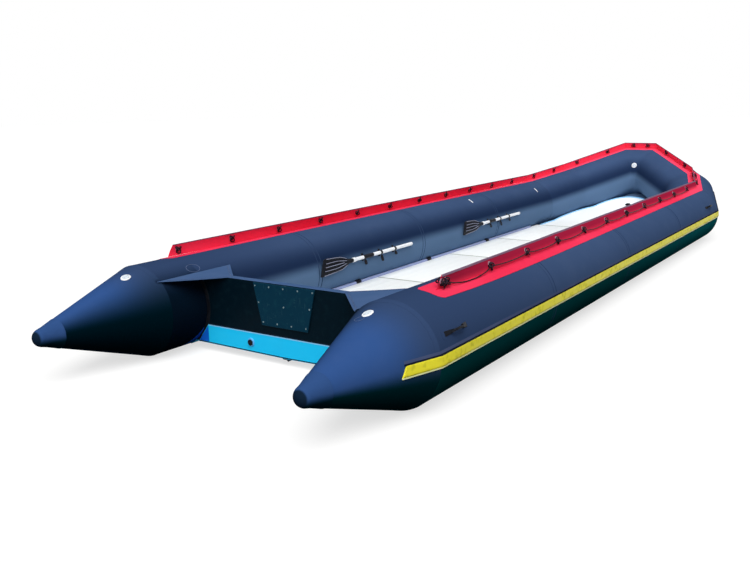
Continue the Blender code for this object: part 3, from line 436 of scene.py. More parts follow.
# %% [markdown]
# ### Coated cloth
# Boat fabric is a woven cloth under a skin of rubber or PVC. From a step away it shows soft patches of fading,
# a little dust, rubbed places that shine more, and the threads of the cloth just printing through. The threads
# follow each piece's UV map, which is laid out in metres, and the fading follows the boat itself.

# %% The coated cloth group
def make_coated_cloth():
    tree, given, out = new_group("coated_cloth", [("Colour", colour, grey), ("Faded", colour, pale_grey),
                                                  ("Dust", number, 0.15), ("Threads", number, 0.35)], surface)
    boat = map_of(tree)
    wide, patchy, fine = clouds(tree, boat, 1.3), clouds(tree, boat, 7.0, 4.0), clouds(tree, boat, 140.0, 2.0)
    fade = slope_of(tree, sum_of(tree, "MULTIPLY_ADD", patchy, 0.25, wide), 0.40, 1.0)
    tone = blend_of(tree, fade, given["Colour"], given["Faded"])
    dust = sum_of(tree, "MULTIPLY", slope_of(tree, patchy, 0.42, 0.75), given["Dust"])
    dusty = blend_of(tree, dust, tone, (0.30, 0.33, 0.38, 1))
    set_input(tree, out["Colour"], blend_of(tree, sum_of(tree, "MULTIPLY", fine, 0.10), dusty, given["Faded"]))
    set_input(tree, out["Roughness"], slope_of(tree, patchy, 0.30, 0.70, 0.36, 0.58))
    places = add_node(tree, "ShaderNodeSeparateXYZ", {0: map_of(tree, "UV")}).outputs
    along, around = (sum_of(tree, "SINE", sum_of(tree, "MULTIPLY", places[axis], 2 * pi / 0.0014))
                     for axis in range(2))
    weave = sum_of(tree, "MULTIPLY", sum_of(tree, "MULTIPLY", along, around), given["Threads"])
    set_input(tree, out["Height"], sum_of(tree, "MULTIPLY_ADD", patchy, 0.6, sum_of(tree, "ADD", weave, fine)))
    return tree


coated_cloth = make_coated_cloth()

# %% [markdown]
# ### Moulded plastic and scratches
# Moulded plastic has a fine pebbled skin. Scratches are noise that is stretched so far that only thin streaks are
# left: one noise runs each way, and a sharp step keeps the crests.

# %% The moulded grain and scratch groups
def make_moulded_grain():
    tree, given, out = new_group("moulded_grain", [("Colour", colour, grey), ("Worn", colour, pale_grey),
                                                   ("Wear", number, 0.2)], surface)
    boat = map_of(tree)
    pebbles = add_node(tree, "ShaderNodeTexVoronoi", {"Vector": boat, "Scale": 900.0}, feature="SMOOTH_F1")
    patchy = clouds(tree, boat, 24.0, 4.0)
    worn = sum_of(tree, "MULTIPLY", slope_of(tree, patchy, 0.50, 0.72), given["Wear"])
    set_input(tree, out["Colour"], blend_of(tree, worn, given["Colour"], given["Worn"]))
    set_input(tree, out["Roughness"], slope_of(tree, patchy, 0.30, 0.70, 0.32, 0.52))
    set_input(tree, out["Height"], sum_of(tree, "ADD", pebbles.outputs["Distance"], patchy))
    return tree


def make_scratches():
    tree, given, out = new_group("light_scratches", [("Density", number, 0.5)], [("Mask", number)])
    boat = map_of(tree)
    streaks = []
    for turn, stretch in ((0.6, (9.0, 260.0, 9.0)), (-0.9, (9.0, 340.0, 12.0)), (1.3, (12.0, 30.0, 300.0))):
        lay = add_node(tree, "ShaderNodeMapping", {"Vector": boat, "Rotation": (turn, 0.2, turn / 2),
                                                   "Scale": stretch})
        streaks.append(slope_of(tree, clouds(tree, lay.outputs[0], 1.0, 2.0), 0.66, 0.74))
    strongest = sum_of(tree, "MAXIMUM", sum_of(tree, "MAXIMUM", streaks[0], streaks[1]), streaks[2])
    where = slope_of(tree, clouds(tree, boat, 11.0), 0.45, 0.62)
    strongest = sum_of(tree, "MULTIPLY", strongest, where)
    set_input(tree, out["Mask"], sum_of(tree, "MULTIPLY", strongest, given["Density"]))
    return tree


moulded_grain, light_scratches = make_moulded_grain(), make_scratches()

# %% One material from one group
def dressed(name, group, values, bump, specular=0.0, metallic=0.0):
    """A material whose colour, roughness and bump come from a group, with plain numbers on the shader."""
    material = bpy.data.materials.new(name)
    material.use_nodes = True
    tree = material.node_tree
    shader = tree.nodes["Principled BSDF"].inputs
    look = add_node(tree, "ShaderNodeGroup", values, node_tree=group)
    relief = add_node(tree, "ShaderNodeBump", {"Height": look.outputs["Height"], "Strength": bump,
                                               "Distance": 0.0006})
    for label, value in (("Base Color", look.outputs["Colour"]), ("Roughness", look.outputs["Roughness"]),
                         ("Normal", relief.outputs["Normal"]), ("Specular IOR Level", specular),
                         ("Metallic", metallic)):
        set_input(tree, shader[label], value)
    return material


def cloth(name, fresh, faded, specular=0.0):
    return dressed(name, coated_cloth, {"Colour": (*fresh, 1), "Faded": (*faded, 1), "Dust": 0.015, "Threads": 0.35},
                   0.10, specular)


def moulded(name, fresh, worn, wear=0.3, specular=0.10, metallic=0.0):
    return dressed(name, moulded_grain, {"Colour": (*fresh, 1), "Worn": (*worn, 1), "Wear": wear}, 0.25, specular,
                   metallic)


navy_cloth = cloth("navy_tube_cloth", (0.042, 0.076, 0.165), (0.048, 0.086, 0.185))
cone_cloth = cloth("navy_cone_cloth", (0.027, 0.074, 0.225), (0.030, 0.080, 0.240))
red_cloth = cloth("red_skirt_cloth", (0.840, 0.030, 0.086), (0.900, 0.046, 0.116))
blue_cloth = cloth("blue_bottom_cloth", (0.010, 0.560, 1.000), (0.020, 0.640, 1.000), 0.10)
trim_cloth = cloth("grey_trim_cloth", (0.052, 0.106, 0.235), (0.070, 0.126, 0.265))
# The dark tape also makes a painted shadow line on the tail strip.
dark_tape_and_painted_shadow = cloth("dark_edge_tape", (0.006, 0.010, 0.018), (0.014, 0.020, 0.034))
strake_rubber = moulded("yellow_strake_rubber", (0.880, 0.800, 0.040), (0.600, 0.560, 0.030), 0.8)
black_plastic = moulded("black_plastic", (0.004, 0.005, 0.009), (0.014, 0.016, 0.022))
black_rubber = moulded("black_rubber", (0.005, 0.006, 0.009), (0.018, 0.020, 0.026), 0.5)
white_plastic = moulded("white_plastic", (0.880, 0.910, 0.950), (0.720, 0.760, 0.820), 0.4)
transom_board = moulded("black_transom_board", (0.001, 0.007, 0.013), (0.003, 0.013, 0.020), 0.6, 0.02)
teal_pad = moulded("teal_motor_pad", (0.003, 0.029, 0.055), (0.006, 0.042, 0.066), 0.6, 0.02)
white_board = moulded("white_floor_board", (0.970, 1.000, 1.000), (0.900, 0.960, 0.965), 0.4)
rail_metal = moulded("drawn_aluminium", (0.320, 0.380, 0.620), (0.260, 0.310, 0.520), 0.5)
ring_metal = moulded("plated_steel", (0.560, 0.580, 0.610), (0.400, 0.410, 0.430), 0.5, metallic=1.0)
eyelet_metal = moulded("dull_eyelet_metal", (0.360, 0.200, 0.260), (0.220, 0.120, 0.160), 0.5)
tip_navy = moulded("navy_tip_plastic", (0.028, 0.072, 0.205), (0.032, 0.080, 0.225), 0.5, 0.0)
rope_fibre = moulded("black_rope_fibre", (0.008, 0.004, 0.010), (0.030, 0.012, 0.026), 0.8)
webbing = moulded("black_webbing", (0.004, 0.004, 0.008), (0.014, 0.014, 0.020), 0.5)

# %% [markdown]
# ### Colours that change along a piece
# The tubes are navy, a little darker toward the stern. Below the rub strake a painted shade turns them dark green,
# paler toward the bow where a painted reflected light is laid over it. On the inboard side a painted shade darkens
# them, a painted pale band on the lower inboard side stands for light reflected from the floor, and a painted shadow
# darkens them aft of the transom, where no light reaches. One material carries all of that, and the cones and their
# tips carry painted shade below and inboard in the same way. Each tint is a second colour laid over the first where a
# mask is white, and the mask is a step along the boat or round the tube, which the UV map gives in metres.

# %% Tints
def tint(material, mask, tone):
    """Lays a second colour over a material's base colour where a mask is white."""
    tree = material.node_tree
    socket = tree.nodes["Principled BSDF"].inputs["Base Color"]
    set_input(tree, socket, blend_of(tree, mask, socket.links[0].from_socket, (*tone, 1)))


def place_along(tree, low, high, axis=0):
    """A smooth step between two places along the boat, or along another axis of it."""
    return slope_of(tree, add_node(tree, "ShaderNodeSeparateXYZ", {0: map_of(tree)}).outputs[axis], low, high)


def tone_along(material, low, high, tone, axis=0):
    tint(material, place_along(material.node_tree, low, high, axis), tone)


def round_tube(material):
    """A material's nodes, and the distances along and round the tube from its UV map."""
    tree = material.node_tree
    return tree, *add_node(tree, "ShaderNodeSeparateXYZ", {0: map_of(tree, "UV")}).outputs[:2]


under_low, under_high = -0.62, -0.46


def painted_shade_below(material, tone, low, high, bow_painted_light=None):
    """Painted shade below a height round the tube, fading out again toward the inboard side, with an optional painted
    reflected light laid over it toward the bow.
    """
    tree, _, height = round_tube(material)
    mask = sum_of(tree, "MULTIPLY", slope_of(tree, height, low, high, 1.0, 0.0),
                  slope_of(tree, height, under_low, under_high))
    tint(material, mask, tone)
    if bow_painted_light:
        tint(material, sum_of(tree, "MULTIPLY", mask, place_along(tree, -1.5, 3.0)), bow_painted_light)


def painted_light_and_shade_inside(material, tone, low, high, under=(under_low, under_high), strength=1.0, aft=None):
    """Painted light and shade on the inboard side: a tone from a height round the tube on, and only aft of a place if
    one is given.
    """
    tree, _, height = round_tube(material)
    mask = sum_of(tree, "MAXIMUM", slope_of(tree, height, low, high), slope_of(tree, height, *under, 1.0, 0.0))
    weight = strength if aft is None else place_along(tree, aft, aft - 0.02)
    tint(material, sum_of(tree, "MULTIPLY", mask, weight), tone)


def seam_lines(material, places, tone):
    """Thin darker lines round the tube at the edges of the seam tapes."""
    tree, along, _ = round_tube(material)
    for place in places:
        tint(material, sum_of(tree, "COMPARE", along, place, 0.0045), tone)


def painted_flap_shade(material, tone):
    """Painted shade on the outboard face of the standing flap, darker toward its top."""
    tree, along, height = round_tube(material)
    outboard = sum_of(tree, "MULTIPLY", slope_of(tree, along, 15.0, 15.1), slope_of(tree, along, 32.0, 32.1, 1.0, 0.0))
    tint(material, sum_of(tree, "MULTIPLY", outboard, slope_of(tree, height, 0.0, 0.045)), tone)


# Painted shade on the tip moulding below its middle height. The next line makes the tip's blunt end a darker navy.
tone_along(tip_navy, 0.312, 0.262, (0.000, 0.014, 0.022), axis=2)
tone_along(tip_navy, -4.345, -4.355, (0.006, 0.016, 0.034))
tone_along(cone_cloth, -3.92, -3.60, (0.031, 0.058, 0.134))
tone_along(navy_cloth, -1.60, -3.30, (0.030, 0.056, 0.130))
# Painted shade below the rub strake: dark green on the tubes, paler toward the bow under a painted reflected light,
# and near black on the cones.
painted_shade_below(navy_cloth, (0.001, 0.052, 0.058), -0.021, -0.017, (0.004, 0.130, 0.150))
painted_shade_below(cone_cloth, (0.000, 0.020, 0.026), -0.110, 0.045)
# Painted shade on the inboard side of the cones and tubes, a painted pale band of light reflected from the floor on
# the tubes' lower inboard side, and a painted shadow inboard aft of the transom.
painted_light_and_shade_inside(cone_cloth, (0.000, 0.008, 0.014), 0.52, 0.92)
painted_light_and_shade_inside(navy_cloth, (0.012, 0.026, 0.070), 0.62, 0.84)
painted_light_and_shade_inside(navy_cloth, (0.120, 0.210, 0.360), pi * radius - 0.110, pi * radius - 0.010, (-0.75, -0.60), 0.75)
painted_light_and_shade_inside(navy_cloth, (0.002, 0.008, 0.018), 0.56, 0.84, aft=-3.245)
tone_along(red_cloth, 1.40, 2.60, (1.000, 0.070, 0.150))
# Painted shade on the flap's outboard face.
painted_flap_shade(red_cloth, (0.420, 0.016, 0.056))
print("Materials:", len(bpy.data.materials))

# %% Every carried-over solid has a finish
finish_of = {
    "tube_fabric": navy_cloth, "skirt_fabric": red_cloth, "strake_rubber": strake_rubber, "rope": rope_fibre,
    "transom_board": transom_board, "motor_pad": teal_pad, "trim_fabric": trim_cloth, "bottom_fabric": blue_cloth,
    "floor_board": white_board, "floor_rail": rail_metal, "valve_plastic": white_plastic,
    "cap_plastic": trim_cloth, "paddle_shaft": white_plastic, "black_plastic": black_plastic, "webbing": webbing,
    "ring_steel": ring_metal, "black_rubber": black_rubber,
}
slot_of = {part["node"]: part["material_slot"] for part in frame["record"]["subparts"]}
for node_name, solid in frame["nodes"].items():
    solid.data.materials.clear()
    solid.data.materials.append(finish_of[slot_of[node_name]])
print("Solids given a finish:", len(slot_of))

# %% [markdown]
# ## The tubes
# A buoyancy tube is cut from flat panels of coated cloth and glued into a cylinder. Each length starts here as a
# circle, which is extruded from the stern forward and trimmed by the planes of its mitres. The edges that run
# lengthwise are then subdivided, so the rows lean over gradually from one plane to the next and no sliver is left.

# %% One length of tube
round_steps = 96
overrun = 0.30


def lengthwise(run, low, high):
    """A rule for edges that run along the tube between two distances."""
    along = axes_of[run][0]

    def rule(edge):
        way = edge.verts[1].co - edge.verts[0].co
        place = (middle(edge) - corners[run]).dot(along)
        return low < place < high and abs(way.normalized().dot(along)) > 0.98 and way.length > 1e-6
    return rule


def trim_to_mitres(run, start=True, end=True):
    """Trims the open mesh to the planes at a run's two ends."""
    if start:
        trim(corners[run], mitres[run], keep_front=True)
    if end:
        trim(corners[run + 1], mitres[run + 1])


def tube_circle(name, place):
    """A circle square across the tube, open for editing."""
    bpy.ops.mesh.primitive_circle_add(vertices=round_steps, radius=radius, location=place.translation,
                                      rotation=place.to_euler())
    piece = named(settle(bpy.context.object), name)
    open_mesh(piece)
    select_all()
    return piece


def push_along(run, stops):
    for here, there in zip(stops, stops[1:]):
        push(axes_of[run][0] * (there - here))


def tube_length(name, run, stops, cuts, start=True, end=True):
    """A length of tube with rows at the stops, and evenly leaning rows in its last stretch."""
    piece = tube_circle(name, across(run, stops[0]))
    push_along(run, stops)
    trim_to_mitres(run, start, end)
    if end:
        choose("EDGE", lengthwise(run, stops[-2], run_length[run] + overrun))
        bpy.ops.mesh.subdivide(number_cuts=cuts)
    close_mesh()
    return piece


def even_stops(low, high, pitch):
    count = max(1, round((high - low) / pitch))
    return [low + (high - low) * step / count for step in range(count + 1)]

# %% [markdown]
# ### Seam tapes
# A tape a few centimetres wide is glued over each joint of the panels. It is less than a millimetre thick, so it
# only catches the light as a faint step. The skin is scored along both edges of the tape and the ring of faces
# between them is raised.

# %% Raising a tape
tape_half, tape_lift = 0.021, 0.0008


def raise_band(rule):
    """Raises the chosen faces of the open mesh as a thin layer of tape."""
    if choose("FACE", rule):
        bpy.ops.mesh.extrude_region_shrink_fatten(
            TRANSFORM_OT_shrink_fatten={"value": tape_lift, "use_even_offset": False})


def tape_at(spot, normal, half=tape_half):
    """A tape that follows the plane through a point, such as a mitre."""
    for way in (-1, 1):
        score(spot + normal * half * way, normal)
    raise_band(lambda face: abs((middle(face) - spot).dot(normal)) < half)


def ring_tape(run, distance, half=tape_half):
    """A tape round the tube at one distance along a run."""
    tape_at(corners[run] + axes_of[run][0] * distance, axes_of[run][0], half)

# %% [markdown]
# ### A map in metres
# Cloth shows its threads along the tube and round it. Each piece on the tubes gets a UV map whose two directions
# are the distance along the line of the tubes and the distance round the skin, both in metres.

# %% Laying the UV map
run_start = [0.0, run_length[0], run_length[0] + run_length[1], sum(run_length[:3])]


def run_of(point):
    """The run whose mitre planes a point of the port side lies between."""
    for run in reversed(bow_runs):
        if (point - corners[run]).dot(mitres[run]) > 0:
            return run
    return side_run


def to_port(point):
    """The place of a point on the port side, whichever side it is on."""
    return Vector((point.x, abs(point.y), point.z))


def turn_at(run, point):
    """A point's angle round a run's axis, from outboard up."""
    return atan2((point - corners[run]).dot(axes_of[run][2]), (point - corners[run]).dot(axes_of[run][1]))


def wrap_map(piece):
    """A UV map of the distance along the tubes and the distance round them, from outboard up."""
    while piece.data.uv_layers:
        piece.data.uv_layers.remove(piece.data.uv_layers[0])
    spots = piece.data.uv_layers.new(name="metres").data
    for face in piece.data.polygons:
        run = run_of(to_port(face.center))
        middle_turn = turn_at(run, to_port(face.center))
        for loop in face.loop_indices:
            point = to_port(piece.data.vertices[piece.data.loops[loop].vertex_index].co)
            turn = turn_at(run, point)
            turn += 2 * pi * round((middle_turn - turn) / (2 * pi))
            spots[loop].uv = (run_start[run] + (point - corners[run]).dot(axes_of[run][0]), turn * radius)
    return piece

# %% The two side tubes, aft and forward of the baffle
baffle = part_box("port_forward_chamber")[0].x - corners[0].x
seam_places = [1.540, baffle, 4.730]
seam_lines(navy_cloth, [place + way * tape_half for place in seam_places for way in (-1, 1)],
           (0.027, 0.050, 0.112))


def side_tube(name, run_low, run_high, seams, end):
    """One chamber of the side tube, with a tape over each panel seam."""
    stops = even_stops(run_low, run_high - 0.30, 0.12) + [run_high + overrun] if end else \
        even_stops(run_low, run_high, 0.12)
    piece = tube_length(name, side_run, stops, 3, False, end)
    open_mesh(piece)
    for seam in seams:
        ring_tape(side_run, seam)
    if end:
        score(corners[1] - mitres[1] * tape_half, mitres[1])
        raise_band(lambda face: (middle(face) - corners[1]).dot(mitres[1]) > -tape_half)
    close_mesh()
    return piece


aft_tube = side_tube("port_aft_tube", 0.0003, baffle - 0.0002, [1.540], False)
forward_tube = side_tube("port_forward_tube", baffle + 0.0001, run_length[0], [baffle + tape_half, 4.730], True)
print("Faces on the aft tube:", len(aft_tube.data.polygons))

# %% [markdown]
# ### The bow tube
# The bow is one chamber of five mitred lengths. Each length is made alone, the lengths are joined and their seams
# merged, and the half that reaches the centreline is mirrored. Where panels meet at an angle the cloth cannot lie
# quite flat, so the skin is drawn in a little on the inside of each bend, in small folds that die out.

# %% Folds at a mitre
def gather_at_mitres(piece, deep=0.0035, fade=0.30):
    """Moves points near the mitres: small folds on the inside of each bend, a slight fullness beyond."""
    for vertex in piece.data.vertices:
        side = 1 if vertex.co.y >= 0 else -1
        spot = to_port(vertex.co)
        for corner in (1, 2, 3):
            gap = abs((spot - corners[corner]).dot(mitres[corner]))
            if gap > fade:
                continue
            run = run_of(spot)
            along, from_axis = axes_of[run][0], spot - corners[run]
            facing = (from_axis - along * from_axis.dot(along)).normalized()
            inside = max(0.0, facing.dot((axes_of[corner][0] - axes_of[corner - 1][0]).normalized()))
            ripple = 0.5 + 0.5 * noise.noise(Vector((turn_at(run, spot) * 5.0, corner * 7.0, gap * 4.0)))
            fold = deep * inside ** 2 * (1 - gap / fade) ** 3 * (2.0 * ripple - 0.7)
            vertex.co -= Vector((facing.x, facing.y * side, facing.z)) * fold
    return piece

# %% The mitred bow
def make_bow_tube():
    lengths = []
    for run in bow_runs:
        cuts = max(2, round(run_length[run] / 0.055))
        lengths.append(tube_length(f"bow_length_{run}", run, [-overrun, run_length[run] + overrun], cuts))
    bow = weld(join("bow_tube", lengths))
    open_mesh(bow)
    for corner in (2, 3):
        bend = (axes_of[corner][0] - axes_of[corner - 1][0]).normalized()
        spot, normal = corners[corner], mitres[corner]
        choose("VERT", lambda point: abs((point.co - spot).dot(normal)) < 0.15 and point.co.y > 0.025
               and (point.co - spot).dot(bend) > 0.12)
        bpy.ops.mesh.vertices_smooth(factor=0.5, repeat=10)
    for corner in (1, 2, 3):
        tape_at(corners[corner], mitres[corner])
    for run, share in ((shoulder_run, 0.52), (cheek_run, 0.50)):
        ring_tape(run, run_length[run] * share, 0.016)
    close_mesh()
    return both_halves(gather_at_mitres(bow))


bow_tube = make_bow_tube()
gather_at_mitres(forward_tube)

# %% Tubes get their map, finish and bodies
for tube, node_name in ((aft_tube, "aft_chamber"), (forward_tube, "forward_chamber")):
    for piece, _ in finish_pair(shade(wrap_map(weld(tube))), navy_cloth, "tube_fabric", node_name):
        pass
finish(shade(wrap_map(bow_tube)), navy_cloth, "tube_fabric", "bow_chamber")

# %% [markdown]
# ### The stern cones
# Each tube ends aft in a cone, cut in gores and closed by a moulded tip. The cone is a circle extruded and scaled
# toward its end row by row. The tip is a turned cap: a half profile spun about the axis, with a raised lip where it
# laps the cloth.

# %% Cones
cone_seam = corners[0].x
cone_length, cone_end = 0.730, 0.055
tip_cover = 0.100


def cone_radius(x):
    """The cone's radius at a place along the boat."""
    return radius + (cone_end - radius) * (cone_seam - x) / cone_length


def make_cone(rows=18, lap=0.0295):
    piece = tube_circle("port_cone_cloth", across(side_run, 0.0))
    far_x = cone_seam - cone_length + tip_cover
    stops = [cone_seam + (far_x - cone_seam) * row / rows for row in range(rows + 1)]
    for before, x in zip(stops, stops[1:]):
        push((x - before, 0.0, 0.0))
        size = (cone_radius(x) - 0.0002) / (cone_radius(before) - 0.0002)
        bpy.ops.transform.resize(value=(1.0, size, size), center_override=(x, tube_y, radius))
    score((cone_seam - lap, tube_y, radius), (1.0, 0.0, 0.0))
    raise_band(lambda face: middle(face).x > cone_seam - lap)
    close_mesh()
    return weld(piece)


for piece, _ in finish_pair(shade(wrap_map(make_cone())), cone_cloth, "tube_fabric", "stern_cone"):
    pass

# %% Cone tips
def turned(name, profile, steps=64):
    """A turned piece about the X axis from (distance along X, radius) points."""
    piece = draw_line(name, [(x, 0.0, reach) for x, reach in profile])
    bpy.ops.mesh.spin(steps=steps, angle=2 * pi, center=(0.0, 0.0, 0.0), axis=(1.0, 0.0, 0.0))
    close_mesh()
    return weld(piece, 0.00005)


def make_tip():
    lip_x, slope = tip_cover - 0.0002, (radius - cone_end) / cone_length
    lip = cone_end + slope * lip_x
    profile = [(lip_x, lip - 0.004), (lip_x, lip + 0.0010), (lip_x - 0.002, lip + 0.0018),
               (lip_x - 0.010, lip - 0.0012), (0.020, cone_end + slope * 0.020 + 0.0005)]
    start = atan2(radius - cone_end, cone_length)
    for step in range(13):
        angle = start + (pi / 2 - start) * step / 12
        profile.append((-cone_end * sin(angle), cone_end * cos(angle)))
    profile[-1] = (profile[-1][0], 0.0)
    return put(turned("port_tip_moulding", profile), Matrix.Translation((cone_seam - cone_length, tube_y, radius)))


finish_pair(shade(wrap_map(make_tip())), tip_navy, "black_rubber", "cone_tip")

# %% [markdown]
# ## Bands glued to the tubes
# The rub strake and the foot of the lacing skirt are long strips that lie on the tube. Each is drawn as an arc
# about the tube's axis, extruded along a run and trimmed at the mitres. The outer face is then thickened outwards,
# so the inner face stays on the cloth.

# %% A band along a run
def band_length(name, run, low, high, steps, stops, start, end, lift, turn=0.0):
    """A band of cloth between two angles along one run. A turn in radians lets it wind round the tube."""
    arc = [on_tube(run, stops[0], low + (high - low) * step / steps, lift)[0] for step in range(steps + 1)]
    piece = draw_line(name, arc)
    for here, there in zip(stops, stops[1:]):
        push(axes_of[run][0] * (there - here))
        if turn:
            bpy.ops.transform.rotate(value=-turn * (there - here) / (stops[-1] - stops[0]), orient_axis="X",
                                     orient_type="GLOBAL", center_override=tuple(corners[run]))
    trim_to_mitres(run, start, end)
    if len(stops) == 2:
        choose("EDGE", lengthwise(run, *stops))
        bpy.ops.mesh.subdivide(number_cuts=5)
    close_mesh()
    return piece

# %% [markdown]
# ### The rub strake
# The strake is a yellow rubber extrusion that takes the knocks of a quay. It has a dark piping along its top edge
# and a pale bead along its foot, and at the stern it is cut on a slant on the cone. Its profile is drawn with a
# shallow groove along the middle, where the rubber is thinner.

# %% Strake profile
strake_low, strake_high = asin(-0.016 / radius), asin(0.050 / radius)
strake_thick = 0.008


def strake_profile(run, distance, reach=radius, low=strake_low, high=strake_high):
    """The strake's closed profile round the skin: eased edges and a slightly hollow face."""
    place = across(run, distance)
    outline, steps = [], 10
    for step in range(steps + 1):
        share = step / steps
        edge = min(share, 1 - share) * (high - low) * reach
        face = strake_thick * sqrt(max(0.0, 1 - (1 - min(1.0, edge / 0.006)) ** 2))
        hollow = 0.0007 * max(0.0, 1 - abs(2 * share - 1) / 0.55)
        outline.append((low + (high - low) * share, reach + 0.0004 + max(0.0005, face - hollow)))
    outline += [(high, reach + 0.0003), ((low + high) / 2, reach + 0.0003), (low, reach + 0.0003)]
    return [place @ Vector((far * cos(angle), far * sin(angle), 0.0)) for angle, far in outline]

# %% The strake along the side, drawn on the cone as rings of the same profile
def bridge_rings(name, rings, closed=True):
    """Rings of points as loops of one mesh, bridged one after another."""
    loops = []
    for number, ring in enumerate(rings):
        loops.append(draw_line(f"{name}_ring_{number}", ring, closed))
        close_mesh()
    piece = join(name, loops)
    open_mesh(piece, "EDGE")
    select_all()
    bpy.ops.mesh.bridge_edge_loops()
    close_mesh()
    return piece


def make_side_strake():
    rings = []
    middle_angle, half_angle = (strake_low + strake_high) / 2, (strake_high - strake_low) / 2
    for step in range(9):
        distance = -0.245 * (1 - step / 8)
        reach = cone_radius(cone_seam + distance)
        half = half_angle * radius / reach
        rings.append(strake_profile(side_run, distance, reach, middle_angle - half, middle_angle + half))
    aft = bridge_rings("strake_on_cone", rings)
    forward = draw_line("port_strake", strake_profile(side_run, 0.0), closed=True)
    push_along(side_run, even_stops(0.0, run_length[0] - 0.3, 0.25) + [run_length[0] + overrun])
    trim_to_mitres(side_run, False)
    close_mesh()
    piece = weld(join("port_strake_rubber", [aft, forward]), 0.0003)
    open_mesh(piece)
    trim((corners[0].x - 0.245, tube_y, radius - 0.020), Vector((-1.0, 0.0, 0.45)).normalized())
    close_mesh()
    return weld(close_ends(piece))


port_strake = make_side_strake()


def make_bow_strake():
    lengths = []
    for run in bow_runs:
        lengths.append(draw_line(f"strake_length_{run}", strake_profile(run, -overrun), closed=True))
        push_along(run, [-overrun, run_length[run] + overrun])
        trim_to_mitres(run)
        choose("EDGE", lengthwise(run, -overrun, run_length[run] + overrun))
        bpy.ops.mesh.subdivide(number_cuts=4)
        close_mesh()
    return both_halves(weld(join("bow_strake_rubber", lengths)))


finish(shade(wrap_map(port_strake), radians(50)), strake_rubber, "strake_rubber", "port_rub_strake")
finish(copy_of(port_strake, "starboard_strake_rubber"), strake_rubber, "strake_rubber", "starboard_rub_strake")
finish(shade(wrap_map(make_bow_strake()), radians(50)), strake_rubber, "strake_rubber", "bow_rub_strake")

# %% Piping above the strake and the bead below it
def edge_line(name, low, high, lift, material, slot_name, aft):
    """A thin raised line along the strake, from the stern round the bow to the centreline."""
    def section(run, distance, reach=radius):
        centre = (strake_low + strake_high) / 2
        ring = []
        for angle, far in ((low, 0.0003), (low, lift), (high, lift), (high, 0.0003)):
            turn = centre + (angle - centre) * radius / reach
            ring.append(across(run, distance) @ (Vector((cos(turn), sin(turn), 0.0)) * (reach + far)))
        return ring

    pieces = [bridge_rings(name, [section(side_run, distance, cone_radius(cone_seam + distance))
                                  for distance in even_stops(aft, 0.0, 0.05)])]
    for run in range(4):
        start = 0.0 if run == side_run else -overrun
        pieces.append(draw_line(f"{name}_{run}", section(run, start), closed=True))
        push_along(run, [start, run_length[run] + overrun])
        trim_to_mitres(run, run != side_run)
        close_mesh()
    whole = close_ends(both_halves(weld(join(name, pieces), 0.0004)))
    return finish(shade(wrap_map(whole)), material, slot_name)


pale_bead = moulded("pale_bead_rubber", (0.880, 0.920, 0.520), (0.700, 0.740, 0.420), 0.3)
grey_line = cloth("blue_grey_line_cloth", (0.050, 0.070, 0.150), (0.070, 0.094, 0.185))
edge_line("strake_top_piping", strake_high - 0.020, strake_high + 0.006, 0.0092, dark_tape_and_painted_shadow, "black_rubber", -0.227)
edge_line("strake_top_tape", strake_high + 0.006, strake_high + 0.056, 0.0010, grey_line, "tube_fabric", -0.225)
edge_line("strake_foot_bead", strake_low - 0.014, strake_low + 0.006, 0.0068, pale_bead, "strake_rubber", -0.245)

# %% [markdown]
# ## The lacing skirt
# A red skirt runs round the tubes to hold a dodger: a strip glued on the tube's shoulder with a flap that stands up
# from it, pierced by eyelets. Along the sides the skirt winds slowly inboard as it goes forward, so each extruded
# step of the strip is also turned a little about the tube's axis. The flap is a second sheet, drawn as a line that
# leans inboard and bridged to the next such line. A lip of the strip runs on over the tube's crown.

# %% Where the skirt lies
skirt_thick, strip_width, flap_tall, flap_lean = 0.0025, 0.064, 0.074, 0.009
eyelet_pitch, wave_size, notch_half = 0.540, 0.0009, 0.035
skirt_aft, side_lip, bow_lip = 0.245, 0.030, 0.082
cloth_aft = skirt_aft + 0.026
slant_foot, slant_top = 0.036 + 0.300, 0.036 + 0.055 + 0.300


def skirt_offset(run, distance, aft=0.121, bow=0.065):
    """How far outboard of the tube's crown the flap's foot stands."""
    if run != side_run:
        return bow
    return aft + (bow - aft) * (distance - skirt_aft) / (run_length[0] - skirt_aft)


def near_aft_end(run, distance, size, fade):
    """Near its aft end the skirt lies further inboard than its line, by a size that fades going forward."""
    return size * 2.0 ** (-(distance - slant_foot) / fade) if run == side_run else 0.0


def flap_turn(run, distance):
    return pi / 2 - asin(skirt_offset(run, distance) / radius)


def flap_foot(offset):
    reach = radius + 0.0034
    return sqrt(reach * reach - offset * offset)


def flap_spot(run, distance, share, out=0.0):
    """A point of the flap's middle layer, from its foot, share 0, to its top, share 1."""
    foot = skirt_offset(run, distance) - near_aft_end(run, distance, 0.043, 0.55)
    over = skirt_offset(run, distance, 0.076, 0.029)
    low, high = flap_foot(foot), flap_foot(over) + flap_tall
    belly = 0.003 * sin(pi * min(1.0, max(0.0, share)))
    return across(run, distance) @ Vector((foot + (over + flap_lean - foot) * share + belly + out,
                                           low + (high - low) * share, 0.0))

# %% [markdown]
# The strip's outer aft corner is rounded with scissors. In the mesh this is a row of cuts, each along a tangent of
# the round.

# %% Strip and flap lengths
def round_corner(distance, angle, round_by, way_along, way_round):
    """Rounds a corner of an open band on the side run: cuts along tangents of a quarter circle."""
    spot, facing = on_tube(side_run, distance + way_along * round_by, angle + way_round * round_by / radius)
    along = axes_of[side_run][0]
    round_way = along.cross(facing)
    for step in range(1, 6):
        turn = pi / 2 * step / 6
        normal = -along * way_along * cos(turn) - round_way * way_round * sin(turn)
        trim(spot + normal * round_by, normal)


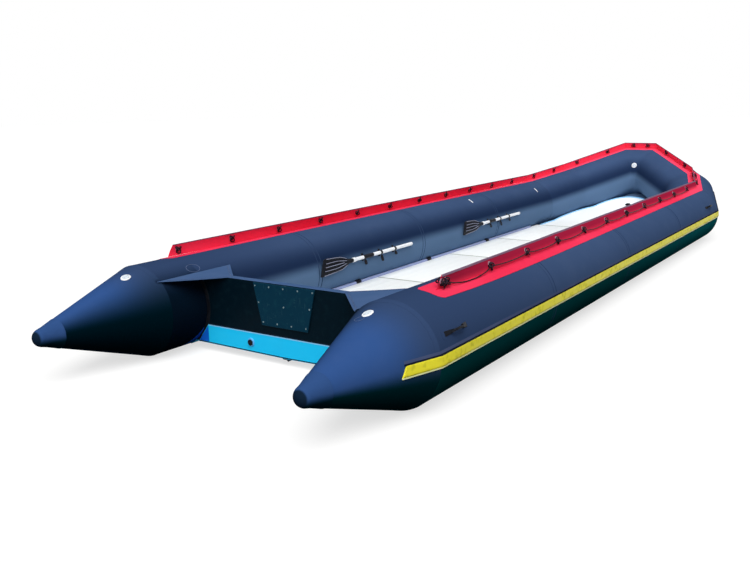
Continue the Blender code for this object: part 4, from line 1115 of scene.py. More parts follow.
def strip_length(run, lip):
    start, turned_by = -overrun, 0.0
    stops = [start, run_length[run] + overrun]
    if run == side_run:
        start, turned_by = cloth_aft, flap_turn(run, run_length[run]) - flap_turn(run, cloth_aft)
        stops = even_stops(start, run_length[run] + 0.05, 0.12)
    low, high = flap_turn(run, start) - strip_width / radius, flap_turn(run, start) + lip / radius
    piece = band_length(f"strip_{run}", run, low, high, 8, stops, run != side_run, True, 0.0005, turned_by)
    if run == side_run:
        open_mesh(piece)
        round_corner(cloth_aft, low, 0.060, 1, 1)
        round_corner(cloth_aft, high, 0.020, 1, -1)
        close_mesh()
    return piece


def bridge_lines(name, lines):
    """Open lines of equal length, bridged pair by pair into one sheet."""
    return weld(join(name, [bridge_rings(f"{name}_{number}", pair, closed=False)
                            for number, pair in enumerate(zip(lines, lines[1:]))]))


def flap_length(run, low, high, trims):
    """The standing flap along one run, bridged from upright line to upright line."""
    shares = (0.0, 0.10, 0.30, 0.50, 0.70, 0.88, 1.0)
    stops = even_stops(low, high, 0.12)
    piece = bridge_lines(f"flap_{run}", [[flap_spot(run, stop, share) for share in shares] for stop in stops])
    open_mesh(piece)
    for point, normal in trims:
        trim(point, normal)
    close_mesh()
    return piece


def cloth_waves(piece):
    """Lets a standing flap wave a little between its eyelets, most at its top."""
    for vertex in piece.data.vertices:
        run = run_of(vertex.co)
        along, outward, upward = axes_of[run]
        gap = vertex.co - corners[run]
        tall = min(1.0, max(0.0, (gap.dot(upward) - 0.295) / flap_tall))
        wave = sin(2 * pi * gap.dot(along) / eyelet_pitch) + noise.noise(gap * 3.0)
        vertex.co += outward * wave_size * wave * tall ** 2
    return piece

# %% The side skirts
def flap_map(piece):
    """The flap's own map in metres: along the boat and up from the skin, with its two faces set aside."""
    wrap_map(piece)
    spots = piece.data.uv_layers.active.data
    for face in piece.data.polygons:
        side = 1 if face.center.y >= 0 else -1
        run = run_of(to_port(face.center))
        along, outward, _ = axes_of[run]
        facing = Vector((face.normal.x, face.normal.y * side, face.normal.z))
        aside = 20.0 if facing.dot(outward) > 0 else 40.0
        for loop in face.loop_indices:
            gap = to_port(piece.data.vertices[piece.data.loops[loop].vertex_index].co) - corners[run]
            gap -= along * gap.dot(along)
            spots[loop].uv = (spots[loop].uv[0] + aside, gap.length - radius)
    return piece


def sheet_from(name, strips, flaps):
    """Strip and flap get their thickness and become one piece of cloth."""
    strip = face_toward(weld(join(f"{name}_strip", strips), 0.0004), (0, 0, 1))
    give_wall(strip, skirt_thick * 0.8)
    flap = give_wall(weld(join(f"{name}_flap", flaps), 0.0004), skirt_thick, offset=0.0)
    return shade(join(name, [wrap_map(strip), flap_map(flap)]))


side_trim = (corners[1] - mitres[1] * 0.0015, mitres[1])


def make_side_skirt():
    strip = strip_length(side_run, side_lip)
    for vertex in strip.data.vertices:
        gap = vertex.co - corners[side_run]
        turn = near_aft_end(side_run, max(cloth_aft, gap.x), 0.034, 0.35) / radius
        vertex.co.y += gap.y * cos(turn) - gap.z * sin(turn) - gap.y
        vertex.co.z += gap.y * sin(turn) + gap.z * cos(turn) - gap.z
    lip_edge = radians(93.1)
    lip = band_length("lip", side_run, radians(71.0), lip_edge, 8,
                      even_stops(cloth_aft, run_length[0] + 0.05, 0.12), False, True, 0.0003)
    open_mesh(lip)
    round_corner(cloth_aft, lip_edge, 0.046, 1, -1)
    close_mesh()
    foot, top = flap_spot(side_run, slant_foot, 0.0), flap_spot(side_run, slant_top, 1.0)
    across_slant = (top - foot).cross(Vector((0.0, 1.0, 0.0))).normalized()
    if across_slant.x > 0:
        across_slant = -across_slant
    flap = flap_length(side_run, slant_foot - 0.01, run_length[0] + 0.05, [(foot, across_slant), side_trim])
    give_wall(face_toward(lip, (0, 0, 1)), 0.0012)
    skirt = sheet_from("port_skirt_cloth", [strip], [cloth_waves(flap)])
    return shade(join("port_skirt_cloth", [skirt, wrap_map(lip)]))


for piece, side in finish_pair(make_side_skirt(), red_cloth, "skirt_fabric", "lacing_skirt"):
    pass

# %% The bow skirt, notched at the shoulders
def bow_trims(run):
    """Where a bow length of the flap ends: on a mitre, or short of one at the notch."""
    trims = []
    for corner, side in ((run, -1), (run + 1, 1)):
        spot, normal = corners[corner], mitres[corner]
        if corner == 2:
            normal = axes_of[run][0]
            spot = corners[run] + normal * (notch_half if side < 0 else run_length[run] - notch_half)
        trims.append((spot, normal * side))
    return trims


def make_bow_skirt():
    strips = [strip_length(run, bow_lip) for run in bow_runs]
    flaps = [flap_length(run, -0.10, run_length[run] + 0.10, bow_trims(run)) for run in bow_runs]
    strip, flap = (both_halves(weld(join(name, lengths), 0.0004))
                   for name, lengths in (("bow_strips", strips), ("bow_flaps", flaps)))
    return sheet_from("bow_skirt_cloth", [strip], [flap])


bow_skirt = finish(make_bow_skirt(), red_cloth, "skirt_fabric", "bow_lacing_skirt")

# %% [markdown]
# A dark tape is folded over the flap's top edge. Its profile is a narrow hook over the edge, extruded along with
# the flap.

# %% The hem tape
def hem_length(run, low, high, trims):
    outline = [(0.0062, -0.0102), (0.0032, -0.0010), (0.0014, 0.0011), (-0.0012, 0.0011), (-0.0026, -0.0010),
               (-0.0002, -0.0060), (0.0006, -0.0058), (-0.0014, -0.0004), (0.0014, -0.0004), (0.0052, -0.0106)]
    up_way = axes_of[run][2]
    piece = draw_line(f"hem_{run}", [flap_spot(run, low, 1.0, out) + up_way * up for out, up in outline], closed=True)
    stops = even_stops(low, high, 0.09)
    for here, there in zip(stops, stops[1:]):
        push(flap_spot(run, there, 1.0) - flap_spot(run, here, 1.0))
    for point, normal in trims:
        trim(point, normal)
    close_mesh()
    return close_ends(piece)


hem_cloth = cloth("grey_hem_tape", (0.200, 0.110, 0.180), (0.260, 0.160, 0.240))
side_hem = hem_length(side_run, slant_top - 0.001, run_length[0] + 0.05, [side_trim])
finish_pair(shade(wrap_map(named(cloth_waves(side_hem), "port_hem_tape"))), hem_cloth, "skirt_fabric")
bow_hems = [hem_length(run, -0.10, run_length[run] + 0.10, bow_trims(run)) for run in bow_runs]
finish(shade(wrap_map(both_halves(join("bow_hem_tape", bow_hems)))), hem_cloth, "skirt_fabric")

# %% [markdown]
# At the port shoulder a small pleat of the same cloth closes the gap between the two flaps.

# %% The pleat at the port shoulder
def make_pleat():
    lines = []
    for run, distance, out in ((shoulder_run, run_length[shoulder_run] - notch_half - 0.004, -0.0020),
                               (shoulder_run, run_length[shoulder_run] - 0.012, -0.0050),
                               (cheek_run, 0.012, -0.0050), (cheek_run, notch_half + 0.004, -0.0020)):
        lines.append([flap_spot(run, distance, step / 6, out) for step in range(7)])
    return shade(give_wall(bridge_lines("port_skirt_pleat", lines), 0.0018, offset=0.0))


finish(make_pleat(), red_cloth, "skirt_fabric")

# %% [markdown]
# ## The transom
# The transom is a thick plywood board between the tubes, painted black and sealed at its edges. Its outline is
# drawn once, filled and extruded through its thickness, and the edges are rounded with a bevel. The sides follow
# the round of the tubes.

# %% Flat pieces cut from an outline
def slab(name, outline, way, ease=0.0, segments=2):
    """A flat outline, filled and extruded along a vector, with its edges eased."""
    piece = draw_line(name, outline, closed=True)
    bpy.ops.mesh.edge_face_add()
    push(way)
    face_outwards()
    close_mesh()
    if ease:
        ease_edges(piece, ease, segments)
    return shade(piece)


def beside_tube(reach, low_z, high_z, steps):
    """The (y, z) points of the tube's inboard side between two heights."""
    start, end = (pi - asin((z - radius) / reach) for z in (low_z, high_z))
    angles = [start + (end - start) * step / steps for step in range(steps + 1)]
    return [(tube_y + reach * cos(angle), radius + reach * sin(angle)) for angle in angles]


def standing(x, outline):
    return [(x, y, z) for y, z in outline]


board_thick, board_top = 0.045, 0.516
board_side = beside_tube(radius + 0.0022, 0.0585, board_top, 16)
board = slab("transom_plywood", standing(stern_x, both_ways([(0.0, 0.0512)] + board_side)), (board_thick, 0.0, 0.0),
             0.0035, 3)
finish(wrap_map(board), transom_board, "transom_board", "transom_board")

# %% [markdown]
# A rubber flange holds the board to each tube. On both faces it is a narrow crescent that follows the tube: the arc
# is drawn, and extruded by scaling it away from the tube's axis.

# %% Flanges that hold the board
def board_flange(name, x, way):
    reach = radius + 0.0004
    piece = draw_line(name, standing(x, beside_tube(reach, 0.075, board_top - 0.026, 20)))
    push((0.0, 0.0, 0.0))
    size = (radius + 0.030) / reach
    bpy.ops.transform.resize(value=(1.0, size, size), center_override=(x, tube_y, radius))
    select_all()
    push((way, 0.0, 0.0))
    face_outwards()
    close_mesh()
    return shade(wrap_map(ease_edges(piece, 0.0010)))


for label, x, way in (("aft", stern_x - 0.0002, -0.0028), ("front", stern_x + board_thick + 0.0002, 0.0028)):
    finish_pair(board_flange(f"port_{label}_board_flange", x, way), black_rubber, "black_rubber")

# %% [markdown]
# ### Motor pads and screws
# The outboard motor is clamped over two rubber pads. The pads are screwed on, and the outer one is scuffed by use.
# The screw is modelled once: a low disc, its rim drawn in, with a round recess pressed into its face.

# %% The pads
pad_top, pad_bottom = board_top - 0.004, board_top - 0.273


def motor_pad(name, x, way, low_z, low_half):
    outline = both_ways([(-low_half, low_z), (-0.242, pad_top)])
    piece = slab(name, standing(x, outline), (way, 0.0, 0.0))
    open_mesh(piece)
    choose("FACE", lambda face: face.normal.x * way > 0.9)
    bpy.ops.mesh.inset(thickness=0.006, depth=0.0)
    bpy.ops.mesh.inset(thickness=0.0012, depth=-0.0008)
    close_mesh()
    return shade(wrap_map(ease_edges(piece, 0.0022, 3)))


outer_pad = motor_pad("outer_pad_rubber", stern_x - 0.0003, -0.0118, pad_bottom, 0.180)
inner_pad = motor_pad("inner_pad_rubber", stern_x + board_thick + 0.0003, 0.0118, pad_top - 0.220, 0.191)


def scuffed(material, tone, density):
    """Adds light scratches to a material's colour."""
    marks = add_node(material.node_tree, "ShaderNodeGroup", {"Density": density}, node_tree=light_scratches)
    tint(material, marks.outputs["Mask"], tone)


scuffed(teal_pad, (0.045, 0.110, 0.130), 0.7)
scuffed(transom_board, (0.010, 0.022, 0.030), 0.5)
finish(outer_pad, teal_pad, "motor_pad", "outer_motor_pad")
finish(inner_pad, teal_pad, "motor_pad", "inner_motor_pad")

# %% The screws
def make_screw(size=0.0052):
    """A pan-head screw that faces aft, with a sunk round recess."""
    bpy.ops.mesh.primitive_circle_add(vertices=20, radius=size, fill_type="NGON", rotation=(0.0, -pi / 2, 0.0))
    piece = named(settle(bpy.context.object), "screw")
    open_mesh(piece)
    select_all()
    push((-size * 0.22, 0.0, 0.0))
    push((-size * 0.20, 0.0, 0.0))
    bpy.ops.transform.resize(value=(1.0, 0.80, 0.80), center_override=(-size * 0.42, 0.0, 0.0))
    bpy.ops.mesh.inset(thickness=size * 0.36, depth=0.0)
    bpy.ops.mesh.inset(thickness=size * 0.04, depth=-size * 0.14)
    face_outwards()
    close_mesh()
    return shade(piece)


def set_screws(name, x, places, turn):
    """Copies of one screw at many places of a pad, joined as one piece."""
    model = make_screw()
    copies = [copy_of(model, f"{name}_{number}", Matrix.Translation((x, y, z)) @ turn)
              for number, (y, z) in enumerate(places)]
    bpy.data.objects.remove(model)
    finish(join(name, copies), screw_steel, "ring_steel")


screw_places = [(0.225 - 0.1125 * step, pad_top - 0.019) for step in range(5)]
screw_places += [(0.168 - 0.112 * step, pad_bottom + 0.022) for step in range(4)]
screw_places += [(0.200, 0.388), (-0.200, 0.388), (0.0, 0.378)]
inner_places = [(y, pad_top - 0.020) for y in (-0.205, 0.0, 0.205)]
inner_places += [(y, pad_top - 0.200) for y in (-0.170, 0.0, 0.170)]
screw_steel = moulded("dull_screw_steel", (0.200, 0.290, 0.320), (0.120, 0.180, 0.200), 0.5)
set_screws("outer_pad_screws", stern_x - 0.0121 + 0.0006, screw_places, Matrix())
set_screws("inner_pad_screws", stern_x + board_thick + 0.0121 - 0.0006, inner_places, Matrix.Rotation(pi, 4, "Z"))

# %% [markdown]
# ### Top strip and knees
# The board's top edge is capped by a fabric strip with rolled sides. At each end a flat knee of doubled fabric runs
# out to the tube and is glued to it by a flange. The knee is a sheet: it dips a little between its edges, and it is
# sewn along them.

# %% The top strip
cap_half = 0.4555
cap_low = board_top + 0.0003
cap_profile = [(-0.003, cap_low), (-0.003, cap_low + 0.0022), (-0.0012, cap_low + 0.0038), (0.006, cap_low + 0.0042),
               (0.039, cap_low + 0.0042), (0.0462, cap_low + 0.0038), (0.048, cap_low + 0.0022), (0.048, cap_low)]
top_strip = slab("transom_cap_strip", [(stern_x + x, -cap_half, z) for x, z in cap_profile],
                 (0.0, 2 * cap_half, 0.0))
finish(wrap_map(top_strip), trim_cloth, "trim_fabric", "transom_top_strip")

# %% Knees
knee_start, knee_reach, knee_low = 0.456, 0.331, board_top + 0.0003


def make_knee():
    edge_y = tube_y - sqrt((radius + 0.0018) ** 2 - (knee_low + 0.002 - radius) ** 2)
    outline = [(stern_x, knee_start, knee_low), (stern_x - knee_reach, edge_y, knee_low),
               (stern_x + knee_reach, edge_y, knee_low), (stern_x + board_thick, knee_start, knee_low)]
    piece = draw_line("port_knee_cloth", outline, closed=True)
    bpy.ops.mesh.edge_face_add()
    for step in range(1, 10):
        score((stern_x - knee_reach + 2 * knee_reach * step / 10, 0.0, 0.0), (1.0, 0.0, 0.0))
    for step in range(1, 6):
        score((0.0, knee_start + (edge_y - knee_start) * step / 6, 0.0), (0.0, 1.0, 0.0))
    close_mesh()
    give_wall(face_toward(piece, (0, 0, 1)), 0.0032)
    for vertex in piece.data.vertices:
        x = vertex.co.x - stern_x - board_thick / 2
        free = max(0.0, min(1.0, (abs(x) - 0.022) / 0.08)) * (1 - ((vertex.co.y - 0.60) / 0.16) ** 2)
        vertex.co.z -= 0.0016 * max(0.0, free)
    return shade(wrap_map(piece)), edge_y


port_knee, knee_edge = make_knee()
for piece, side in finish_pair(port_knee, trim_cloth, "trim_fabric", "transom_knee"):
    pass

# %% Knee flanges on the tube
flange_turn = pi - asin((knee_low + 0.004 - radius) / radius)


def make_knee_flange():
    low, start, end = flange_turn - 0.050, transom_run - knee_reach - 0.002, transom_run + knee_reach + 0.006
    piece = band_length("port_knee_flange", side_run, low, flange_turn + 0.004, 3,
                        even_stops(start, end, 0.06), False, False, 0.0003)
    open_mesh(piece)
    round_corner(start, low, 0.010, 1, 1)
    round_corner(end, low, 0.010, -1, 1)
    close_mesh()
    return shade(wrap_map(give_wall(face_toward(piece, (0, -1, 1)), 0.0010)))


finish_pair(make_knee_flange(), navy_cloth, "trim_fabric")

# %% [markdown]
# A stitch is a short bead of thread. One bead is made from a stretched icosphere, and an Array modifier repeats it
# along a seam at its pitch.

# %% Rows of stitches
def stitch_row(start, end, pitch=0.0075, size=0.0009):
    """A row of stitches from one point to another."""
    start, end = Vector(start), Vector(end)
    way = end - start
    bpy.ops.mesh.primitive_ico_sphere_add(subdivisions=1, radius=size, location=start)
    bead = named(bpy.context.object, "stitch")
    bead.scale = (2.6, 1.0, 0.7)
    bead.rotation_euler = way.to_track_quat("X", "Z").to_euler()
    settle(bead)
    count = max(2, int(way.length / pitch))
    add_modifier(bead, "ARRAY", count=count, use_relative_offset=False, use_constant_offset=True,
                 constant_offset_displace=tuple(way / (count - 1)))
    return bead


thread = moulded("pale_thread", (0.075, 0.090, 0.160), (0.050, 0.060, 0.110), 0.3)
rows = []
stitch_z = knee_low + 0.0036
for inset_by in (0.010, 0.017):
    for way in (-1, 1):
        near_x = stern_x if way < 0 else stern_x + board_thick
        rows.append(stitch_row((near_x - way * inset_by, knee_start + 0.012, stitch_z),
                               (stern_x + way * (knee_reach - 0.035) - way * inset_by, knee_edge - 0.020,
                                stitch_z - 0.0004)))
    rows.append(stitch_row((stern_x + 0.004, knee_start + inset_by, stitch_z),
                           (stern_x + board_thick - 0.004, knee_start + inset_by, stitch_z)))
finish_pair(shade(join("port_knee_stitches", rows)), thread, "trim_fabric")

# %% [markdown]
# ## Eyelets and lifelines
# A rope is laced along the outside of each skirt. At every eyelet it is knotted, on both faces of the flap, and
# between two eyelets it hangs in a shallow swag. The eyelet is a turned metal ring, modelled once. The knot is a
# closed path that crosses over itself three times.

# %% Rods, cords and edgings along a path
def curve_along(name, points, closed=False):
    draw_line(name, points, closed)
    close_mesh()
    bpy.ops.object.convert(target="CURVE")
    return bpy.context.object


def tube_along(name, points, thick, sides=3, closed=False):
    """A round bar along a path: the line becomes a curve, gets its thickness and is made a mesh again."""
    curve = curve_along(name, points, closed).data
    curve.bevel_depth, curve.bevel_resolution, curve.use_fill_caps = thick, sides, not closed
    bpy.ops.object.convert(target="MESH")
    return shade(weld(named(bpy.context.object, name), 0.00002), radians(60))

# %% Where the eyelets are
eyelet_share, knot_drop, flap_long = 0.52, 0.010, 0.095
side_eyelets = [(side_run, transom_run + 0.130 + eyelet_pitch * step) for step in range(11)]
bow_eyelets = [(shoulder_run, run_length[shoulder_run] * share) for share in (0.164, 0.679)]
bow_eyelets += [(cheek_run, run_length[cheek_run] * share) for share in (0.234, 0.750)]
bow_eyelets += [(nose_run, run_length[nose_run] - 0.090)]
rope_reach, rope_out = 0.0040, 0.0138


def stand_on_flap(spot, out, spin=0.0):
    """A matrix on the flap at an eyelet: X outboard, Z along the rope, turned a little about X."""
    run, distance = spot
    along = axes_of[run][0]
    up_way = (flap_spot(run, distance, 0.7) - flap_spot(run, distance, 0.3)).normalized()
    outward = up_way.cross(along)
    turn = Matrix((outward, along.cross(outward), along)).transposed().to_4x4()
    share = eyelet_share - (knot_drop / flap_long if out > 0.002 else 0.0)
    return Matrix.Translation(flap_spot(run, distance, share, out)) @ turn @ Matrix.Rotation(spin, 4, "X")


def rope_line(spots, sags, bulge=0.006, steps=8):
    """The rope's path from knot to knot, kept outside the corners and hanging a little between the knots."""
    path = []
    for (run_a, from_a), (run_b, to_b), sag in zip(spots, spots[1:], sags):
        if run_a == run_b:
            places = [(run_a, from_a + (to_b - from_a) * step / steps) for step in range(steps + 1)]
        else:
            places = [(run_a, distance) for distance in even_stops(from_a, run_length[run_a] + 0.012, 0.05)]
            places += [(run_b, distance) for distance in even_stops(-0.012, to_b, 0.05)]
        kept = []
        for run, distance in places:
            point = flap_spot(run, distance, eyelet_share, rope_out)
            if run < run_b and (point - corners[run_b]).dot(mitres[run_b]) > -0.004:
                continue
            if run > run_a and (point - corners[run]).dot(mitres[run]) < 0.004:
                continue
            kept.append((run, distance))
        for step, (run, distance) in enumerate(kept):
            share = step / (len(kept) - 1)
            depth = (4 * share * (1 - share)) ** 0.8
            path.append(flap_spot(run, distance, eyelet_share - (knot_drop + sag * depth) / flap_long,
                                  rope_out + bulge * depth))
        path.pop()
    run, distance = spots[-1]
    return path + [flap_spot(run, distance, eyelet_share - knot_drop / flap_long, rope_out)]

# %% [markdown]
# A laid rope has three strands that wind round each other. A curve can make that: its section is a three-lobed
# outline, and the tilt of its points grows evenly along it, so the lobes run round in a long screw.

# %% A laid rope along a path
def laid_rope(name, path, lay=0.045):
    lobes = []
    for step in range(12):
        angle = 2 * pi * step / 12
        reach = rope_reach * (0.90 + 0.16 * cos(3 * angle))
        lobes.append((reach * cos(angle), reach * sin(angle), 0.0))
    section, rope = curve_along("rope_section", lobes, closed=True), curve_along(name, path)
    bpy.ops.object.mode_set(mode="EDIT")
    bpy.ops.curve.select_all(action="SELECT")
    bpy.ops.curve.spline_type_set(type="BEZIER")
    bpy.ops.curve.handle_type_set(type="AUTOMATIC")
    bpy.ops.object.mode_set(mode="OBJECT")
    spline = rope.data.splines[0]
    gone, before = 0.0, None
    for point in spline.bezier_points:
        gone += (point.co - before).length if before else 0.0
        before = point.co.copy()
        point.tilt = 2 * pi * gone / lay
    rope.data.resolution_u = 9
    rope.data.bevel_mode = "OBJECT"
    rope.data.bevel_object = section
    rope.data.use_fill_caps = True
    pick(rope)
    bpy.ops.object.convert(target="MESH")
    bpy.data.objects.remove(section)
    return weld(named(bpy.context.object, name), 0.00002), gone


def make_knot(size=0.0090):
    """A trefoil: the simplest path that is knotted."""
    path = []
    for step in range(30):
        turn = 2 * pi * step / 30
        path.append((-sin(3 * turn) * size * 0.95, (sin(turn) + 2 * sin(2 * turn)) * size,
                     (cos(turn) - 2 * cos(2 * turn)) * size))
    return tube_along("knot", path, rope_reach, 1, closed=True)


def make_eyelet():
    """A grommet with a rolled rim on both faces of the flap."""
    face = skirt_thick / 2 + 0.0012
    half = [(face, 0.0185), (face + 0.0010, 0.0178), (face + 0.0014, 0.0150), (face + 0.0010, 0.0105),
            (face, 0.0085)]
    return turned("eyelet", both_ways(half) + half[:1], 24)

# %% Lacing the three lifelines
knot, eyelet = make_knot(), make_eyelet()


def lifeline(name, spots, sags, extra=None):
    """One lifeline and its eyelets. An extra knot may sit a hand's width before the first."""
    all_spots = ([extra] if extra else []) + spots
    rope, length = laid_rope(f"{name}_rope", rope_line(all_spots, ([0.004] if extra else []) + sags))
    parts, rings = [rope], []
    for number, spot in enumerate(all_spots):
        for out, spin in ((rope_out, number * 1.3), (-rope_out, 0.6 + number * 1.9)):
            parts.append(copy_of(knot, "k", stand_on_flap(spot, out, spin)))
        rings.append(copy_of(eyelet, "e", stand_on_flap(spot, 0.0)))
    return shade(join(f"{name}_rope", parts), radians(60)), shade(join(f"{name}_eyelets", rings)), length


def uneven(count, sag, first=None):
    return [first or sag] + [sag + 0.004 * sin(5.0 * step) for step in range(1, count)]


port_rope, port_rings, port_long = lifeline("port_lifeline", side_eyelets, uneven(10, 0.016))
near_rope, near_rings, _ = lifeline("starboard_lifeline", side_eyelets, uneven(10, 0.016, 0.042),
                                    (side_run, transom_run + 0.086))
bow_rope, bow_rings, _ = lifeline("bow_lifeline", bow_eyelets, uneven(4, 0.020))
for piece in (near_rope, near_rings):
    mirrored(piece)
for piece in (bow_rope, bow_rings):
    join(piece.name, [piece, copy_of(piece, "half")])
for piece, rings, side in ((port_rope, port_rings, "port"), (near_rope, near_rings, "starboard"),
                           (bow_rope, bow_rings, "bow")):
    finish(piece, rope_fibre, "rope", f"{side}_lifeline")
    finish(rings, eyelet_metal, "ring_steel")
for model in (knot, eyelet):
    bpy.data.objects.remove(model)
print("Rope in the port lifeline:", round(port_long, 2), "metres")

# %% [markdown]
# ## The bottom of the hull
# One sheet of bright blue fabric closes the hull. It is lapped under both tubes, rises to a shallow vee at the bow
# and is turned up on the transom's aft face at the stern. The sheet is drawn as cross lines from the centre to the
# lap, which are bridged one after another, mirrored and given the cloth's thickness.

# %% Cross lines of the bottom sheet
lap_angles = [pi + radians(53.0 + 11.0 * step / 3) for step in range(4)]
lap_reach = radius + 0.0014
cloth_thick = 0.003


def lap_at(run, distance=0.0, corner=None):
    """The lap's points under the tube, square across a run or on a mitre plane."""
    along = axes_of[run][0]
    points = []
    for angle in lap_angles:
        point = across(run, distance) @ Vector((lap_reach * cos(angle), lap_reach * sin(angle), 0.0))
        if corner is not None:
            normal = mitres[corner]
            point -= along * ((point - corners[corner]).dot(normal) / along.dot(normal))
        points.append(point)
    return points


def cross_line(lap, centre_z, centre_x=None, steps=8):
    """From the centreline out to the lap."""
    start = Vector((lap[0].x if centre_x is None else centre_x, 0.0, centre_z))
    return [start.lerp(lap[0], step / steps) for step in range(steps)] + lap


nose_lap, front_lap = lap_at(cheek_run, corner=3), lap_at(nose_run, corner=4)
bow_lines = [cross_line(lap_at(side_run, corner=1), 0.022), cross_line(lap_at(shoulder_run, corner=2), 0.122),
             cross_line(nose_lap, front_lap[0].z, front_lap[0].x)]


def wall_below(piece, thickness):
    """Thickens a level sheet downwards, whichever way its faces look."""
    return give_wall(piece, thickness, -1.0 if piece.data.polygons[0].normal.z > 0 else 1.0)


def make_bottom():
    lines = [cross_line(lap_at(side_run, distance), centre_z) for distance, centre_z in
             ((0.297, 0.050), (0.70, 0.036), (1.10, 0.022), (3.60, 0.022))]
    half = bridge_lines("hull_bottom_cloth", lines + bow_lines)
    tip = bridge_lines("bottom_nose", [nose_lap, [Vector((point.x, 0.0, point.z)) for point in front_lap]])
    piece = both_halves(weld(join("hull_bottom_cloth", [half, tip])))
    open_mesh(piece)
    face_outwards()
    close_mesh()
    return shade(wrap_map(wall_below(piece, cloth_thick)), radians(20))


bottom = make_bottom()
finish(bottom, blue_cloth, "bottom_fabric", "hull_bottom")

# %% [markdown]
# ### The tail of the bottom sheet
# The end of the blue sheet is turned up and glued on the transom. Near its ends the cloth didn't lie quite flat: a
# few creases are scored into the strip and raised a millimetre or two. A gusset carries it on to each tube.

# %% Tail strip with its creases and drain hole
drain_spot = Vector((stern_x - 0.0036, 0.285, 0.115))
strip_aft = stern_x - 0.0003


def rod(vertices, reach, depth, place, turn=(0.0, pi / 2, 0.0)):
    bpy.ops.mesh.primitive_cylinder_add(vertices=vertices, radius=reach, depth=depth, rotation=turn, location=place)
    return bpy.context.object


def cut_from(piece, cutter):
    add_modifier(piece, "BOOLEAN", operation="DIFFERENCE", object=cutter, solver="EXACT")
    bpy.data.objects.remove(cutter)
    return piece


def make_tail():
    outline = both_ways([(0.0, 0.0504), (0.7465, 0.0598), (0.6545, 0.182)])
    piece = slab("tail_strip_cloth", standing(strip_aft, outline), (-cloth_thick, 0.0, 0.0))
    cut_from(piece, rod(40, 0.0142, 0.05, drain_spot))
    open_mesh(piece)
    for way in (-1, 1):
        for place in (0.560, 0.585, 0.600, 0.612, 0.626, 0.640):
            score((0.0, way * place, 0.0), Vector((0.0, 1.0, 0.16 * way)))
    for z in (0.170, 0.140):
        score((0.0, 0.0, z), (0.0, 0.0, 1.0))
    close_mesh()
    for vertex in piece.data.vertices:
        if vertex.co.x < strip_aft - 0.002 and abs(vertex.co.y) > 0.55:
            crease = noise.noise(Vector((vertex.co.y * 42.0, vertex.co.z * 7.0, 3.0)))
            vertex.co.x -= 0.0026 * max(0.0, crease) * min(1.0, (vertex.co.z - 0.05) / 0.05)
    return shade(wrap_map(piece), radians(50))


tail = make_tail()
finish(tail, blue_cloth, "bottom_fabric", "hull_tail_strip")

# %% The strip's painted top highlight, a painted shadow line above it, the dark foot edge, and wing and gusset in painted shade
# The pale tape is the bow board's edging, and on the tail strip a painted highlight.
pale_edge_and_painted_highlight = cloth("pale_blue_edge_tape", (0.240, 0.560, 0.900), (0.320, 0.640, 0.940))
# Painted shade: the bottom's blue cloth made darker for the wing and the gussets.
painted_shade_blue = cloth("deep_blue_gusset_cloth", (0.004, 0.110, 0.620), (0.008, 0.140, 0.700))


on_strip = strip_aft - cloth_thick + 0.0002


def strip_line(name, low_z, high_z, x, thick, material, slot_name):
    """A line right across the strip, as wide as the strip is at its height."""
    outline = both_ways([(0.6545 + (0.7465 - 0.6545) * (0.182 - z) / 0.1222, z) for z in (low_z, high_z)])
    finish(wrap_map(slab(name, standing(x, outline), (-thick, 0.0, 0.0))), material, slot_name)


# A painted highlight along the strip's top edge.
strip_line("tail_strip_top_edge", 0.1765, 0.1825, on_strip, 0.0012, pale_edge_and_painted_highlight, "bottom_fabric")
# A painted shadow: a dark line just above the strip.
strip_line("tail_strip_shadow_line", 0.1826, 0.1915, strip_aft + 0.0001, 0.0009, dark_tape_and_painted_shadow, "black_rubber")
foot = both_ways([(0.7465, 0.0590), (0.7425, 0.0650), (0.0, 0.0556)]) + [(0.0, 0.0496)]
foot_edge = slab("tail_strip_foot_edge", standing(on_strip, foot), (-0.0012, 0.0, 0.0))
finish(wrap_map(foot_edge), dark_tape_and_painted_shadow, "black_rubber")
# The wing is the bottom's blue cloth, painted darker for the shade where it folds on to the tube.
wing = slab("port_strip_wing", standing(on_strip, [(0.6550, 0.0655), (0.6550, 0.1760), (0.7415, 0.0660)]),
            (-0.0010, 0.0, 0.0))
finish_pair(wrap_map(wing), painted_shade_blue, "bottom_fabric")


def make_gusset():
    """A small triangle of cloth glued on the tube, where the strip ends. Its darker blue is a painted shade."""
    near = asin((transom_run - 0.158) / radius)
    piece = band_length("port_tail_gusset", side_run, pi + radians(29.0), pi + radians(60.0), 10,
                        even_stops(0.215, 0.297, 0.02), False, False, 0.0004)
    open_mesh(piece)
    top, _ = on_tube(side_run, 0.297, pi + near)
    tip, facing = on_tube(side_run, 0.215, pi + radians(58.0))
    normal = (tip - top).cross(facing).normalized()
    if normal.z < 0:
        normal = -normal
    trim(top, normal)
    close_mesh()
    return shade(wrap_map(give_wall(face_toward(piece, (0.0, -1.0, -1.0)), 0.0012)))


finish_pair(make_gusset(), painted_shade_blue, "bottom_fabric")

# %% [markdown]
# ### Keel
# Under the floor lies a small inflated keel that gives the bottom its vee, and outside it a rubber guard that takes
# the beach. The keel is turned about its length with full round ends, and the guard is a strip that is drawn across
# and bridged.

# %% Keel tube and guard
keel_low, keel_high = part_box("keel_tube")
keel_reach = (keel_high.z - keel_low.z) / 2 - 0.0002


